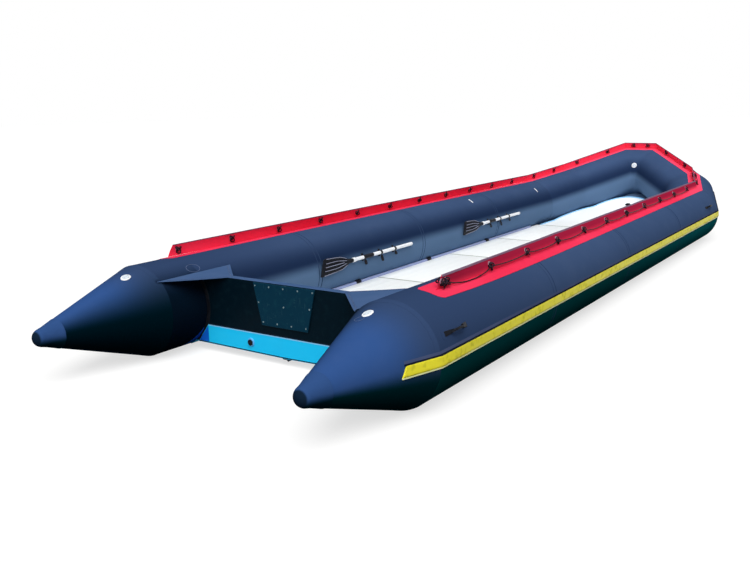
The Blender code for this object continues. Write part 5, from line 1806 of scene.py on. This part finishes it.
def make_keel():
    length = keel_high.x - keel_low.x
    profile = [(0.030 * (1 - cos(pi / 2 * step / 6)), keel_reach * sin(pi / 2 * step / 6)) for step in range(7)]
    stops = even_stops(0.030, length - 0.030, 0.42)[1:-1]
    profile += [(x, keel_reach) for x in stops] + [(length - x, reach) for x, reach in reversed(profile)]
    piece = turned("keel_tube_cloth", profile, 48)
    return shade(wrap_map(put(piece, Matrix.Translation((keel_low.x, 0.0, (keel_low.z + keel_high.z) / 2)))))


keel = finish(make_keel(), navy_cloth, "tube_fabric", "keel_tube")


def make_guard():
    lines = []
    for x, drop in ((stern_x - 0.003, 0.0), (stern_x + 0.800, 0.0007), (stern_x + 6.025, 0.0)):
        top = 0.050 - 0.028 * min(1.0, max(0.0, (x - stern_x + 0.003) / 0.803)) - cloth_thick - 0.0007 - drop
        half = [(0.030, 0.0), (0.0302, -0.0020), (0.0270, -0.0042), (0.0120, -0.0050), (0.0, -0.0042)]
        lines.append([Vector((x, y, top + z)) for y, z in both_ways(half)])
    return shade(wrap_map(weld(close_ends(bridge_rings("keel_guard_rubber", lines)))))


finish(make_guard(), black_rubber, "black_rubber", "keel_guard")
skeg = slab("keel_end_wedge", [(stern_x + 0.012, y, z) for y, z in ((-0.022, 0.0445), (0.022, 0.0445), (0.003, 0.0270),
                                                                   (-0.003, 0.0270))], (0.070, 0.0, 0.0), 0.0012)
finish(skeg, black_rubber, "black_rubber")

# %% [markdown]
# ## The floor
# Five aluminium boards lie end to end between two channel rails, and a turned-up board fills the bow. Each board is
# a slab with eased edges and a row of shallow pressed ribs on its top. An H-section joins one board to the next.

# %% Floorboards with pressed ribs
floor_joint = moulded("olive_floor_joint", (0.420, 0.440, 0.400), (0.300, 0.320, 0.290), 0.5)


def level_outline(low_x, high_x, low_y, high_y, z):
    return [(low_x, low_y, z), (high_x, low_y, z), (high_x, high_y, z), (low_x, high_y, z)]


def floor_board(number):
    low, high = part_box(f"floorboard_{number}")
    piece = slab(f"floorboard_{number}_panel", level_outline(low.x, high.x, low.y, high.y, high.z),
                 (0.0, 0.0, low.z - high.z), 0.0016)
    open_mesh(piece)
    for step in range(-6, 7):
        for edge in (-0.006, 0.006):
            score((0.0, step * 0.100 + edge, 0.0), (0.0, 1.0, 0.0))
    low_x, high_x = low.x + 0.035, high.x - 0.035
    for x in (low_x, high_x):
        score((x, 0.0, 0.0), (1.0, 0.0, 0.0))

    def on_rib(face):
        spot = middle(face)
        beside = abs((spot.y + 0.05) % 0.100 - 0.05) < 0.006
        return face.normal.z > 0.99 and beside and low_x < spot.x < high_x and abs(spot.y) < 0.61
    choose("FACE", on_rib)
    bpy.ops.mesh.inset(thickness=0.0022, depth=0.0012)
    close_mesh()
    finish(shade(piece), white_board, "floor_board", f"floorboard_{number}")
    return high


for number in range(1, 6):
    end = floor_board(number)
    outline = level_outline(end.x - 0.011, end.x + 0.011, -0.674, 0.674, end.z + 0.0001)
    finish(slab(f"floor_joint_{number}", outline, (0.0, 0.0, 0.0014), 0.0005), floor_joint, "floor_rail")

# %% [markdown]
# The bow board is drawn as lines across the boat, bridged from one to the next. Its front is half an ellipse, and it
# folds up twice to follow the rising tubes. A light blue edging tape is laid along its rim.

# %% The bow board
board_low, board_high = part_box("bow_board")
bow_start, taper_x, bow_front = board_low.x - stern_x, 5.900, board_high.x - stern_x
bow_half = board_high.y


def bow_board_spot(x, share=1.0, lift=0.0):
    """A point on the bow board's top, from the centre, share 0, to the edge, share 1."""
    if x <= 6.025:
        z = 0.120
    elif x <= 6.785:
        z = 0.120 + 0.100 * (x - 6.025) / 0.760
    else:
        z = 0.220 + 0.248 / 0.564 * (x - 6.785)
    half = bow_half * sqrt(max(0.0, 1 - max(0.0, (x - taper_x) / (bow_front - taper_x)) ** 2))
    return Vector((stern_x + x, half * share, z + lift))


def bow_stops():
    curved = [taper_x + (bow_front - taper_x) * sin(pi / 2 * step / 16) for step in range(1, 17)]
    return sorted([bow_start, taper_x, 6.025, 6.785] + curved[:-1] + [bow_front - 0.0004])


bow_panel = bridge_lines("bow_board_panel", [[bow_board_spot(x, step / 6) for step in range(-6, 7)]
                                             for x in bow_stops()])
bow_panel = ease_edges(wall_below(bow_panel, 0.012), 0.0014, 2, radians(50))
finish(shade(bow_panel, radians(12)), white_board, "floor_board", "bow_board")

# %% The edging
edge_path = [bow_board_spot(x, 0.985, 0.0045) for x in bow_stops()]
edge_path += [bow_board_spot(x, -0.985, 0.0045) for x in reversed(bow_stops())]
finish(tube_along("bow_board_edging", edge_path, 0.0070), pale_edge_and_painted_highlight, "trim_fabric")

# %% [markdown]
# The rails are drawn aluminium channels. Their section is one closed outline, extruded along the boat. Black clips
# hold them where two boards meet.

# %% Rails and clips
rail_low, rail_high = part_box("port_floor_rail")
board_edge_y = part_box("floorboard_1")[1].y


def make_rail():
    inner, back, outer = rail_low.y, board_edge_y + 0.0004, rail_high.y
    foot, top, wall, over = rail_low.z, rail_high.z, 0.0025, 0.1205
    bead = inner + 0.006
    outline = [(inner, foot), (outer, foot), (outer, top), (bead + 0.003, top), (bead, top - 0.003),
               (bead, over + wall + 0.001), (bead - 0.001, over + wall), (inner, over + wall), (inner, over),
               (back, over), (back, foot + wall), (inner, foot + wall)]
    piece = slab("port_rail_channel", standing(rail_low.x, outline), (rail_high.x - rail_low.x, 0.0, 0.0), 0.0004, 2)
    return shade(piece, radians(30))


finish_pair(make_rail(), rail_metal, "floor_rail", "floor_rail")
clips = []
for place in (1.755, 2.935, 4.180):
    outline = [(rail_low.y - 0.004, 0.1232), (rail_high.y + 0.0005, 0.1232), (rail_high.y + 0.0005, 0.1500),
               (rail_high.y - 0.008, 0.1500), (rail_low.y + 0.003, 0.1440), (rail_low.y - 0.004, 0.1370)]
    clips.append(slab("clip", standing(stern_x + place, outline), (0.062, 0.0, 0.0), 0.0012))
finish_pair(join("port_rail_clips", clips), black_plastic, "black_plastic")

# %% [markdown]
# Ahead of the bow board a navy cloth lines the bottom sheet. It follows the same cross lines, a hair above them.

# %% The lining of the bow
def make_lining():
    start = [point - Vector((0.60, 0.0, 0.0)) for point in bow_lines[0]]
    lines = [[point + Vector((0.0, 0.0, 0.0013)) for point in line[:-3]] for line in [start] + bow_lines]
    piece = face_toward(both_halves(bridge_lines("bow_lining_cloth", lines)), (0, 0, 1))
    return shade(wrap_map(give_wall(piece, 0.0009)), radians(20))


# The lining's pale blue is a painted light, like that on the lower inboard side of the tubes, where it lies in shade.
lining_cloth = cloth("dusty_lining_cloth", (0.120, 0.210, 0.360), (0.150, 0.240, 0.400))
lining = finish(make_lining(), lining_cloth, "tube_fabric")

# %% [markdown]
# ## Small fittings
# Turned parts are drawn as half a profile and spun. A matrix then stands each one on the skin, with its axis
# square to the cloth.

# %% Standing a turned part on the skin
def seat(place, facing, along):
    """The matrix that stands a piece at a place, its X axis along the way it faces."""
    facing = Vector(facing).normalized()
    third = facing.cross(along).normalized()
    return Matrix.Translation(place) @ Matrix((facing, third.cross(facing), third)).transposed().to_4x4()

# %% The valve body: a flange, a stepped rim with grip notches, and a sunk seat
valve_reach, valve_tall, seat_reach, seat_deep = 0.032, 0.007, 0.0225, 0.004


def ring_of_rods(count, vertices, reach, depth, x, out):
    """Rods along X, evenly set round it and joined as one cutter."""
    turns = [2 * pi * step / count for step in range(count)]
    rods = [rod(vertices, reach, depth, (x, out * cos(turn), out * sin(turn))) for turn in turns]
    return settle(join("rods", rods))


def make_valve(name):
    profile = [(0.0003, 0.0), (0.0003, valve_reach), (0.0016, valve_reach + 0.0003), (0.0030, valve_reach - 0.0004),
               (0.0042, 0.0290), (0.0058, 0.0276), (0.0067, 0.0264), (0.0070, 0.0252), (0.0068, 0.0238),
               (0.0060, seat_reach + 0.0003), (valve_tall - seat_deep + 0.0003, seat_reach),
               (valve_tall - seat_deep + 0.0003, 0.0)]
    return shade(cut_from(turned(name, profile, 72), ring_of_rods(12, 12, 0.0021, 0.006, 0.0070, 0.0292)),
                 radians(30))


def make_valve_cap(name):
    """The cap: a knurled disc with a raised bar to turn it by."""
    low, high = 0.0034, 0.0092
    profile = [(low, 0.0), (low, 0.0212), (low + 0.0008, 0.0219), (high - 0.0012, 0.0219), (high - 0.0003, 0.0208),
               (high, 0.0194), (high - 0.0004, 0.0176), (high - 0.0004, 0.0)]
    disc = cut_from(turned(name, profile, 72), ring_of_rods(24, 8, 0.0009, 0.02, low, 0.0221))
    half = [(-0.0165, high - 0.0006), (-0.0150, high + 0.0030), (-0.0125, high + 0.0038), (-0.0050, high + 0.0030),
            (0.0, high + 0.0028)]
    bar = slab("bar", [(x, y, -0.0028) for y, x in both_ways(half)], (0.0, 0.0, 0.0056), 0.0009)
    return shade(join(name, [disc, bar]), radians(30))

# %% Valves on the cones and the bow
cone_slope = atan2(radius - cone_end, cone_length)
valve_x, valve_angle = cone_seam + 0.300 - 0.4375, radians(101.25)
spoke = Vector((0.0, cos(valve_angle), sin(valve_angle)))
stern_facing = (spoke * cos(cone_slope) - Vector((sin(cone_slope), 0.0, 0.0))).normalized()
stern_along = Vector((cos(cone_slope), 0.0, 0.0)) + spoke * sin(cone_slope)
stern_place = Vector((valve_x, tube_y, radius)) + spoke * cone_radius(valve_x)
bow_cap_low, bow_cap_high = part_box("bow_valve_cap")
stern_cap = sum(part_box("port_stern_valve_cap"), Vector()) / 2
print("Stern valve is", round((stern_place - stern_cap).length * 1000, 1), "mm from the middle of its cap")
bow_middle = (bow_cap_low + bow_cap_high) / 2 - corners[4]
bow_facing = Vector((bow_middle.x, 0.0, bow_middle.z)).normalized()
bow_place = corners[4] + bow_facing * radius
cap_plastic = moulded("pale_cap_plastic", (0.640, 0.700, 0.760), (0.500, 0.560, 0.620), 0.4)
stern_seat = seat(stern_place, stern_facing, stern_along)
bow_seat = seat(bow_place, bow_facing, axes_of[nose_run][0])
for side, place in (("port_stern", stern_seat), ("starboard_stern", stern_seat), ("bow", bow_seat)):
    for kind, make, material, body, slot_name in (
            ("body", make_valve, white_plastic, "hull", "valve_plastic"),
            ("cap", make_valve_cap, cap_plastic, f"{side}_cap", "cap_plastic")):
        piece = put(make(f"{side}_valve_{kind}_moulding"), place)
        if side.startswith("starboard"):
            mirrored(piece)
        finish(piece, material, slot_name, f"{side}_valve_{kind}", body=body)

# %% [markdown]
# ### The drain
# A flange with a screwed plug lets the water out through the transom. The plug's head has a raised finger bar and a
# hollow round it.

# %% Drain flange and plug
sea_plastic = moulded("pale_blue_plastic", (0.100, 0.420, 0.850), (0.260, 0.600, 0.950), 0.6)
flange_profile = [(-0.0002, 0.0142), (-0.0002, 0.0280), (-0.0030, 0.0278), (-0.0048, 0.0262), (-0.0056, 0.0240),
                  (-0.0060, 0.0215), (-0.0060, 0.0142)]
drain_flange = turned("drain_flange_moulding", flange_profile + flange_profile[:1], 56)
at_drain = Matrix.Translation(drain_spot)
finish(shade(put(drain_flange, at_drain), radians(30)), sea_plastic, "valve_plastic", "drain_flange")
plug_profile = [(0.0232, 0.0), (0.0232, 0.0118), (0.0220, 0.0132), (-0.0066, 0.0132), (-0.0066, 0.0186),
                (-0.0074, 0.0190), (-0.0112, 0.0190), (-0.0124, 0.0178), (-0.0124, 0.0150), (-0.0094, 0.0138),
                (-0.0090, 0.0)]
plug = turned("drain_plug_moulding", plug_profile, 56)
plug_bar = slab("plug_bar", [(-0.0088, -0.0135, -0.0026), (-0.0124, -0.0135, -0.0026), (-0.0124, 0.0135, -0.0026),
                             (-0.0088, 0.0135, -0.0026)], (0.0, 0.0, 0.0052), 0.0008)
plug = put(join("drain_plug_moulding", [plug, plug_bar]), at_drain)
finish(shade(plug, radians(30)), black_plastic, "black_plastic", "drain_plug", body="drain_stopper")

# %% [markdown]
# ### Carry handles
# A handle is one moulding: two feet glued on the tube and a raised grip between them. Its side view is drawn once,
# extruded to its width and given generous rounds, and an oval patch is glued under each.

# %% Handles
handle_angle = radians(26.0)


def make_handle():
    half, foot, rise, thick = 0.120, 0.050, 0.036, 0.007
    inner = half - foot
    outer_line = both_ways([(-half, 0.0012), (-half + 0.003, 0.0034), (-inner - 0.004, 0.0070),
                            (-inner + 0.010, 0.0130), (-inner + 0.020, 0.0310), (-inner + 0.028, 0.0350),
                            (-0.020, rise)])
    inner_line = both_ways([(half, 0.0), (inner, 0.0), (inner - 0.006, 0.0040), (inner - 0.014, 0.0240),
                            (inner - 0.022, 0.0280), (0.0, rise - thick)])
    outline = [(x, out, -0.014) for x, out in outer_line + inner_line]
    piece = slab("handle_model", outline, (0.0, 0.0, 0.028), 0.0020, 3)
    open_mesh(piece)
    for step in range(-2, 3):
        for edge in (-0.0025, 0.0025):
            score((step * 0.012 + edge, 0.0, 0.0), (1.0, 0.0, 0.0))

    def grip(face):
        spot = middle(face)
        return face.normal.y > 0.9 and spot.y > 0.034 and abs((spot.x + 0.006) % 0.012 - 0.006) < 0.0025 \
            and abs(spot.x) < 0.027
    choose("FACE", grip)
    bpy.ops.mesh.inset(thickness=0.0006, depth=-0.0010)
    close_mesh()
    for vertex in piece.data.vertices:
        vertex.co.z *= 0.50 + 0.50 * min(1.0, max(0.0, (abs(vertex.co.x) - 0.048) / 0.034)) ** 1.5
    return shade(piece)


def handle_patch(name, distance):
    """A patch of navy cloth under the handle, its four corners cut round."""
    low, high = handle_angle - 0.030 / radius, handle_angle + 0.030 / radius
    start, end = distance - 0.150, distance + 0.150
    piece = band_length(name, side_run, low, high, 8, even_stops(start, end, 0.05), False, False, 0.0002)
    open_mesh(piece)
    for at, way_along in ((start, 1), (end, -1)):
        for angle, way_round in ((low, 1), (high, -1)):
            round_corner(at, angle, 0.026, way_along, way_round)
    close_mesh()
    return shade(wrap_map(give_wall(face_toward(piece, (0, 1, 0)), 0.0010)))


handle_model = make_handle()
for end, place in (("aft", -0.095), ("bow", 5.670)):
    point, facing = on_tube(side_run, transom_run + place, handle_angle, 0.0004)
    round_way = Vector((1.0, 0.0, 0.0)).cross(facing)
    turn = Matrix((Vector((1.0, 0.0, 0.0)), facing, round_way)).transposed().to_4x4()
    grip = copy_of(handle_model, f"port_{end}_grip", Matrix.Translation(point) @ turn)
    finish_pair(grip, black_plastic, "black_plastic", f"{end}_handle")
    finish_pair(handle_patch(f"port_{end}_handle_patch", transom_run + place), navy_cloth, "tube_fabric")
bpy.data.objects.remove(handle_model)

# %% [markdown]
# ### The lashing ring
# A D-shaped ring of bent wire hinges in a boss on a round pad. The wire is a closed path with its thickness, and
# its straight leg runs through the boss.

# %% Ring and pad
ring_x = 6.880
steep = atan2(0.248, 0.564)
ring_up = Vector((-sin(steep), 0.0, cos(steep)))
uphill = Vector((cos(steep), 0.0, sin(steep)))
ring_spot = bow_board_spot(ring_x, 0.0) + ring_up * 0.0003
ring_turn = Matrix((uphill, ring_up.cross(uphill), ring_up)).transposed().to_4x4()
ring_place = Matrix.Translation(ring_spot) @ ring_turn
wire, wire_gap, boss_wall, boss_half, pad_thick = 0.0040, 0.0006, 0.0040, 0.0130, 0.0040
ring_lift = pad_thick + 2 * wire_gap + wire


def make_ring_pad():
    """A round pad with a moulded boss, drilled across for the wire."""
    profile = [(0.0, 0.0), (0.0, 0.0320), (0.0014, 0.0320), (0.0030, 0.0310), (0.0040, 0.0290), (0.0040, 0.0)]
    pad = put(turned("pad", profile, 56), Matrix.Rotation(-pi / 2, 4, "Y"))
    reach = wire + wire_gap + boss_wall
    arch = [(reach * cos(pi * step / 12), ring_lift + reach * sin(pi * step / 12)) for step in range(13)]
    outline = [(0.0125, 0.0032), (0.0100, 0.0050)] + arch + [(-0.0100, 0.0050), (-0.0125, 0.0032)]
    boss = slab("boss", [(x, -boss_half, z) for x, z in outline], (0.0, 2 * boss_half, 0.0), 0.0012)
    boss = cut_from(boss, settle(rod(32, wire + wire_gap, 0.05, (0.0, 0.0, ring_lift), (pi / 2, 0.0, 0.0))))
    return shade(join("lashing_ring_mount", [pad, boss]), radians(30))


def make_ring():
    half, straight = 0.024, 0.016
    path = [(0.0, -half + 0.004, 0.0), (0.0, half - 0.004, 0.0), (-0.0012, half - 0.0012, 0.0), (-0.004, half, 0.0)]
    path += [(-straight - half * sin(angle), half * cos(angle), 0.0)
             for angle in (pi * step / 14 for step in range(15))]
    path += [(-0.004, -half, 0.0), (-0.0012, -half + 0.0012, 0.0)]
    ring = tube_along("lashing_ring_wire", path, wire - 0.0001, 3, closed=True)
    return put(ring, Matrix.Translation((0.0, 0.0, ring_lift)) @ Matrix.Rotation(radians(16.0), 4, "Y"))


finish(put(make_ring_pad(), ring_place), black_plastic, "black_plastic", "lashing_ring_pad")
finish(put(make_ring(), ring_place), black_plastic, "ring_steel", "lashing_ring", body="ring")

# %% [markdown]
# Two short white strips mark the inner side of the port tube, and a pale oval line there is a painted highlight on the
# edge of a patch. A thin loop beside the starboard valve is the tether of its cap.

# %% Marks on the port tube and the tether
pale_strip = moulded("white_marker_strip", (0.900, 0.930, 0.960), (0.760, 0.800, 0.850), 0.3)
strips = []
for place, turned_by in ((4.070, pi - atan2(0.261, 0.148)), (5.690, pi - atan2(0.226, 0.197))):
    strip = band_length("strip", side_run, turned_by - 0.100, turned_by + 0.100, 6,
                        [transom_run + place + off for off in (-0.009, 0.0, 0.009)], False, False, 0.0003)
    strips.append(face_toward(strip, (0, -1, 1)))
strips = give_wall(join("port_marker_strips", strips), 0.0012)
finish(shade(wrap_map(strips)), pale_strip, "valve_plastic")
# A painted highlight: a pale oval line where the edge of a patch catches the light.
oval = [on_tube(side_run, transom_run + 0.016 + 0.055 * cos(turn), atan2(0.245, -0.174) + 0.036 / radius * sin(turn),
                0.0004)[0] for turn in (2 * pi * step / 36 for step in range(36))]
tether_and_painted_highlight_line = cloth("pale_glue_line", (0.090, 0.130, 0.240), (0.120, 0.160, 0.280))
finish(tube_along("port_patch_outline", oval, 0.0016, 2, closed=True), tether_and_painted_highlight_line, "trim_fabric")
loop = [(0.0006 + 0.0030 * (1 + cos(turn)), 0.058 + 0.026 * cos(turn), 0.026 * sin(turn))
        for turn in (2 * pi * step / 24 for step in range(24))]
tether = put(tube_along("starboard_valve_tether", loop, 0.0009, 2, closed=True),
             to_starboard @ stern_seat @ Matrix.Rotation(radians(200.0), 4, "X"))
finish(weld(tether), tether_and_painted_highlight_line, "valve_plastic")

# %% [markdown]
# ## The paddles
# Two paddles are stowed along the port tube, each held by three webbing loops. A blade is a thin ribbed moulding
# that narrows to a neck, with a sleeve for the shaft. It is modelled lying along X at the origin and then put in
# its place by a matrix.

# %% The line that the paddles lie on
paddle_out = Vector((0.0, -0.991445, 0.130526))
paddle_axis = Vector((0.0, 0.641587, 0.341788))
paddle_up = paddle_out.cross(Vector((1.0, 0.0, 0.0)))
paddle_turn = Matrix((Vector((1.0, 0.0, 0.0)), paddle_up, paddle_out)).transposed().to_4x4()
blade_long, blade_half, blade_thick = 0.410, 0.075, 0.006
shaft_reach = 0.0150
# Pale lilac for the painted highlights on the blades' ribs.
lilac_rib_painted_highlight = moulded("lilac_rib_edge", (0.300, 0.320, 0.440), (0.180, 0.190, 0.280), 0.5)


def blade_width(share):
    """Half the blade's width at a share of its length, eased between a few measured places."""
    places = [(0.0, 0.90), (0.02, 0.955), (0.06, 1.0), (0.16, 0.985), (0.30, 0.930), (0.46, 0.875), (0.62, 0.780),
              (0.72, 0.610), (0.80, 0.430), (0.86, 0.320), (0.92, 0.250), (1.0, 0.210)]
    for (before, wide), (after, narrow) in zip(places, places[1:]):
        if share <= after:
            return blade_half * (wide + (narrow - wide) * (share - before) / (after - before))
    return blade_half * places[-1][1]


def slanted(x, y, z=0.0):
    """The blade's end is cut on a slant, and the slant dies out toward the neck."""
    return (x + 0.034 * y / blade_half * max(0.0, 1 - x / (0.6 * blade_long)), 0.90 * y, z)


def rib_spot(lane, share, face=1, lift=0.0):
    """A point on a rib's crest. The rib dies out at both ends and closes in toward the neck."""
    closing = max(0.0, (share - 0.40) / 0.46) ** 1.5
    tall = blade_thick / 2 + 0.0010 + 0.0024 * max(0.0, sin(pi * (share - 0.10) / 0.76)) ** 0.5 + lift
    return slanted(blade_long * share, blade_half * lane * (1 - 0.86 * closing), face * tall)


def make_blade(name):
    shares_along = [0.0, 0.012, 0.03, 0.06, 0.11, 0.16, 0.23, 0.30, 0.38, 0.46, 0.54, 0.62, 0.68, 0.74, 0.80, 0.86,
                    0.93, 1.0]
    half = [(blade_long * share, blade_width(share), -blade_thick / 2) for share in shares_along]
    outline = [slanted(*spot) for spot in half + [(x, -y, z) for x, y, z in reversed(half)]]
    plate = slab(name, outline, (0.0, 0.0, blade_thick), 0.0022, 3)
    ribs = [tube_along("rib", [rib_spot(lane, 0.10 + 0.76 * step / 12, face) for step in range(13)], 0.0032, 2)
            for lane in (-0.42, 0.0, 0.42) for face in (-1, 1)]
    sleeve_profile = [(blade_long * 0.60, 0.0), (blade_long * 0.62, 0.0042), (blade_long * 0.74, 0.0125),
                      (blade_long * 0.86, 0.0170), (blade_long - 0.020, 0.0176), (blade_long - 0.004, 0.0176),
                      (blade_long - 0.001, 0.0168), (blade_long, 0.0152), (blade_long, 0.0)]
    sleeve = turned("sleeve", sleeve_profile, 40)
    rings = []
    for place in (-0.036, -0.028, -0.020):
        band = [(blade_long + place + off, reach) for off, reach in
                ((-0.0018, 0.0174), (-0.0008, 0.0184), (0.0008, 0.0184), (0.0018, 0.0174))]
        rings.append(turned("band", band + band[:1], 40))
    return shade(join(name, [plate, sleeve] + ribs + rings), radians(40))


def make_rib_painted_highlights(name):
    """Painted highlights: pale lines on the crests of the ribs and of the rim, where they catch the light."""
    shares = [0.10 + 0.70 * step / 12 for step in range(13)]
    lines = [[rib_spot(lane, share, lift=0.0024) for share in shares] for lane in (-0.42, 0.0, 0.42)]
    lines += [[slanted(blade_long * share, blade_width(share) * lane, blade_thick / 2 - 0.0002) for share in shares]
              for lane in (-0.93, 0.93)]
    return join(name, [tube_along("edge", path, 0.0024, 1) for path in lines])

# %% The shaft, its collar and the paddle as a whole
def make_shaft(name):
    start, end = blade_long + 0.0003, blade_long + 0.0003 + 0.940
    profile = [(start, 0.0), (start, shaft_reach - 0.0001)]
    profile += [(x, shaft_reach - 0.0001) for x in even_stops(start, end - 0.014, 0.12)[1:]]
    profile += [(end - 0.014 + 0.014 * sin(pi / 2 * step / 6), shaft_reach * cos(pi / 2 * step / 6))
                for step in range(1, 6)] + [(end, 0.0)]
    return shade(turned(name, profile, 40), radians(50))


def make_collar(name):
    low = blade_long + 0.0004
    profile = [(low, 0.0152), (low, 0.0182), (low + 0.0020, 0.0190), (low + 0.0330, 0.0190), (low + 0.0380, 0.0170),
               (low + 0.0400, 0.0152), (low, 0.0152)]
    return shade(turned(name, profile, 40), radians(40))


for label, tip_x in (("aft", -2.054165), ("forward", 0.305835)):
    place = Matrix.Translation(paddle_axis + Vector((tip_x, 0.0, 0.0))) @ paddle_turn
    body = f"{label}_paddle"
    for make, piece_name, material, slot_name, nodes in (
            (make_blade, "blade_moulding", black_plastic, "black_plastic", [f"{body}_blade"]),
            (make_rib_painted_highlights, "rib_edges", lilac_rib_painted_highlight, "black_plastic", []),
            (make_shaft, "tube", white_plastic, "paddle_shaft", [f"{body}_shaft"]),
            (make_collar, "collar", white_plastic, "paddle_shaft", [])):
        finish(put(make(f"{body}_{piece_name}"), place), material, slot_name, *nodes, body=body)

# %% [markdown]
# ### Paddle straps
# Each strap is a loop of webbing round the shaft, on a foot that is glued to the tube, and its loose end hangs as a
# small loop. The web is drawn as a line in side view, extruded to its width and given its thickness.

# %% Straps
strap_wide, strap_thick, strap_hole = 0.025, 0.0025, 0.0150 + 0.0006


def strap_frame(x):
    """The matrix of a strap: X up along the tube, Y away from it, Z along the boat."""
    turn = Matrix((paddle_up, paddle_out, paddle_up.cross(paddle_out))).transposed().to_4x4()
    return Matrix.Translation(paddle_axis + Vector((x, 0.0, 0.0))) @ turn


def web(name, path, wide, thick, offset=0.0):
    """A strip of webbing that follows a path in side view."""
    piece = draw_line(name, [(x, y, -wide / 2) for x, y in path])
    push((0.0, 0.0, wide))
    close_mesh()
    return give_wall(piece, thick, offset)


def make_strap(name, number):
    outer = strap_hole + strap_thick
    loop_path = [((outer - strap_thick / 2) * cos(angle), (outer - strap_thick / 2) * sin(angle))
                 for angle in (radians(-84 + 348 * step / 30) for step in range(31))]
    foot = -(outer + 0.0003)
    foot_path = [(-0.032, foot + 0.0013), (-0.016, foot + 0.0013), (0.0, foot + 0.0011), (0.016, foot + 0.0013),
                 (0.032, foot + 0.0013)]
    slack = 0.7 + 0.3 * ((number * 7) % 3) / 2
    tail_path = [(-0.018, 0.010), (-0.026, 0.006), (-0.040 * slack, 0.004), (-0.058 * slack, 0.006),
                 (-0.070 * slack, 0.011), (-0.074 * slack, 0.017), (-0.066 * slack, 0.021), (-0.050 * slack, 0.019),
                 (-0.034 * slack, 0.014), (-0.024, 0.013)]
    pieces = [web("loop", loop_path, strap_wide, strap_thick * 0.92), web("foot", foot_path, strap_wide, 0.0022),
              web("tail", tail_path, strap_wide * 0.8, 0.0016)]
    if number in (1, 4):
        sleeve_path = [(0.0164 * cos(angle), 0.0164 * sin(angle)) for angle in
                       (2 * pi * step / 24 for step in range(25))]
        sleeve = web("sleeve", sleeve_path, 0.145, 0.0012)
        pieces.append(put(sleeve, Matrix.Translation((0.0, 0.0, 0.055))))
    return shade(join(name, pieces), radians(50))


number = 0
for label, places in (("aft", (-1.4744, -1.2241, -1.0040)), ("forward", (0.8856, 1.1359, 1.3560))):
    for index, x in enumerate(places, 1):
        number += 1
        strap = put(make_strap(f"{label}_paddle_web_{index}", number), strap_frame(x))
        finish(strap, webbing, "webbing", f"{label}_paddle_strap_{index}")

# %% [markdown]
# ## Floor, light and sky
# The photograph is a cut-out on white. The floor looks white to the camera and to mirrors and still takes the
# boat's soft shadow. The light is a plain sky with one large soft lamp above the stern quarter, at a level at
# which a colour comes out about as it is written.

# %% The floor
def seen_directly(tree):
    """1 for rays that come from the camera, a mirror or clear material, and 0 for the rest."""
    rays = add_node(tree, "ShaderNodeLightPath").outputs
    seen = sum_of(tree, "MAXIMUM", rays["Is Camera Ray"], rays["Is Glossy Ray"])
    return sum_of(tree, "MAXIMUM", seen, rays["Is Transmission Ray"])


def make_floor():
    bpy.ops.mesh.primitive_plane_add(size=120.0, location=(0.0, 0.0, -0.0005))
    floor = named(bpy.context.object, "studio_floor")
    material = bpy.data.materials.new("studio_floor")
    material.use_nodes = True
    tree = material.node_tree
    shader, seen = tree.nodes["Principled BSDF"].inputs, seen_directly(tree)
    for label, value in (("Roughness", 0.9), ("Specular IOR Level", 0.0), ("Emission Color", (1.0, 1.0, 1.0, 1.0)),
                         ("Base Color", blend_of(tree, seen, (0.04, 0.045, 0.05, 1), (0.40, 0.40, 0.40, 1))),
                         ("Emission Strength", sum_of(tree, "MULTIPLY", seen, 0.66))):
        set_input(tree, shader[label], value)
    floor.data.materials.append(material)


make_floor()

# %% The sky and the lamp
def make_sky(level):
    world = bpy.data.worlds.new("plain_sky")
    bpy.context.scene.world = world
    world.use_nodes = True
    tree = world.node_tree
    tree.nodes.clear()
    strength = add_node(tree, "ShaderNodeMapRange", {"Value": seen_directly(tree), "To Min": level, "To Max": 1.0})
    light = add_node(tree, "ShaderNodeBackground", {"Color": (1.0, 1.0, 1.0, 1.0),
                                                    "Strength": strength.outputs["Result"]})
    out = add_node(tree, "ShaderNodeOutputWorld")
    tree.links.new(light.outputs[0], out.inputs["Surface"])


def add_sun(name, way, strength, spread, tint):
    """A soft sun that shines along a vector."""
    bpy.ops.object.light_add(type="SUN", location=(0.0, 0.0, 8.0))
    sun = named(bpy.context.object, name)
    sun.data.energy = strength
    sun.data.angle = radians(spread)
    sun.data.color = tint
    sun.rotation_euler = Vector(way).to_track_quat("-Z", "Y").to_euler()


make_sky(0.24)
add_sun("key_sun", (0.56, 0.40, -0.86), 3.1, 50.0, (1.0, 0.995, 0.985))
add_sun("stern_fill", (1.0, 0.0, -0.12), 0.9, 60.0, (0.96, 0.98, 1.0))
bpy.context.scene.view_settings.view_transform = "Standard"
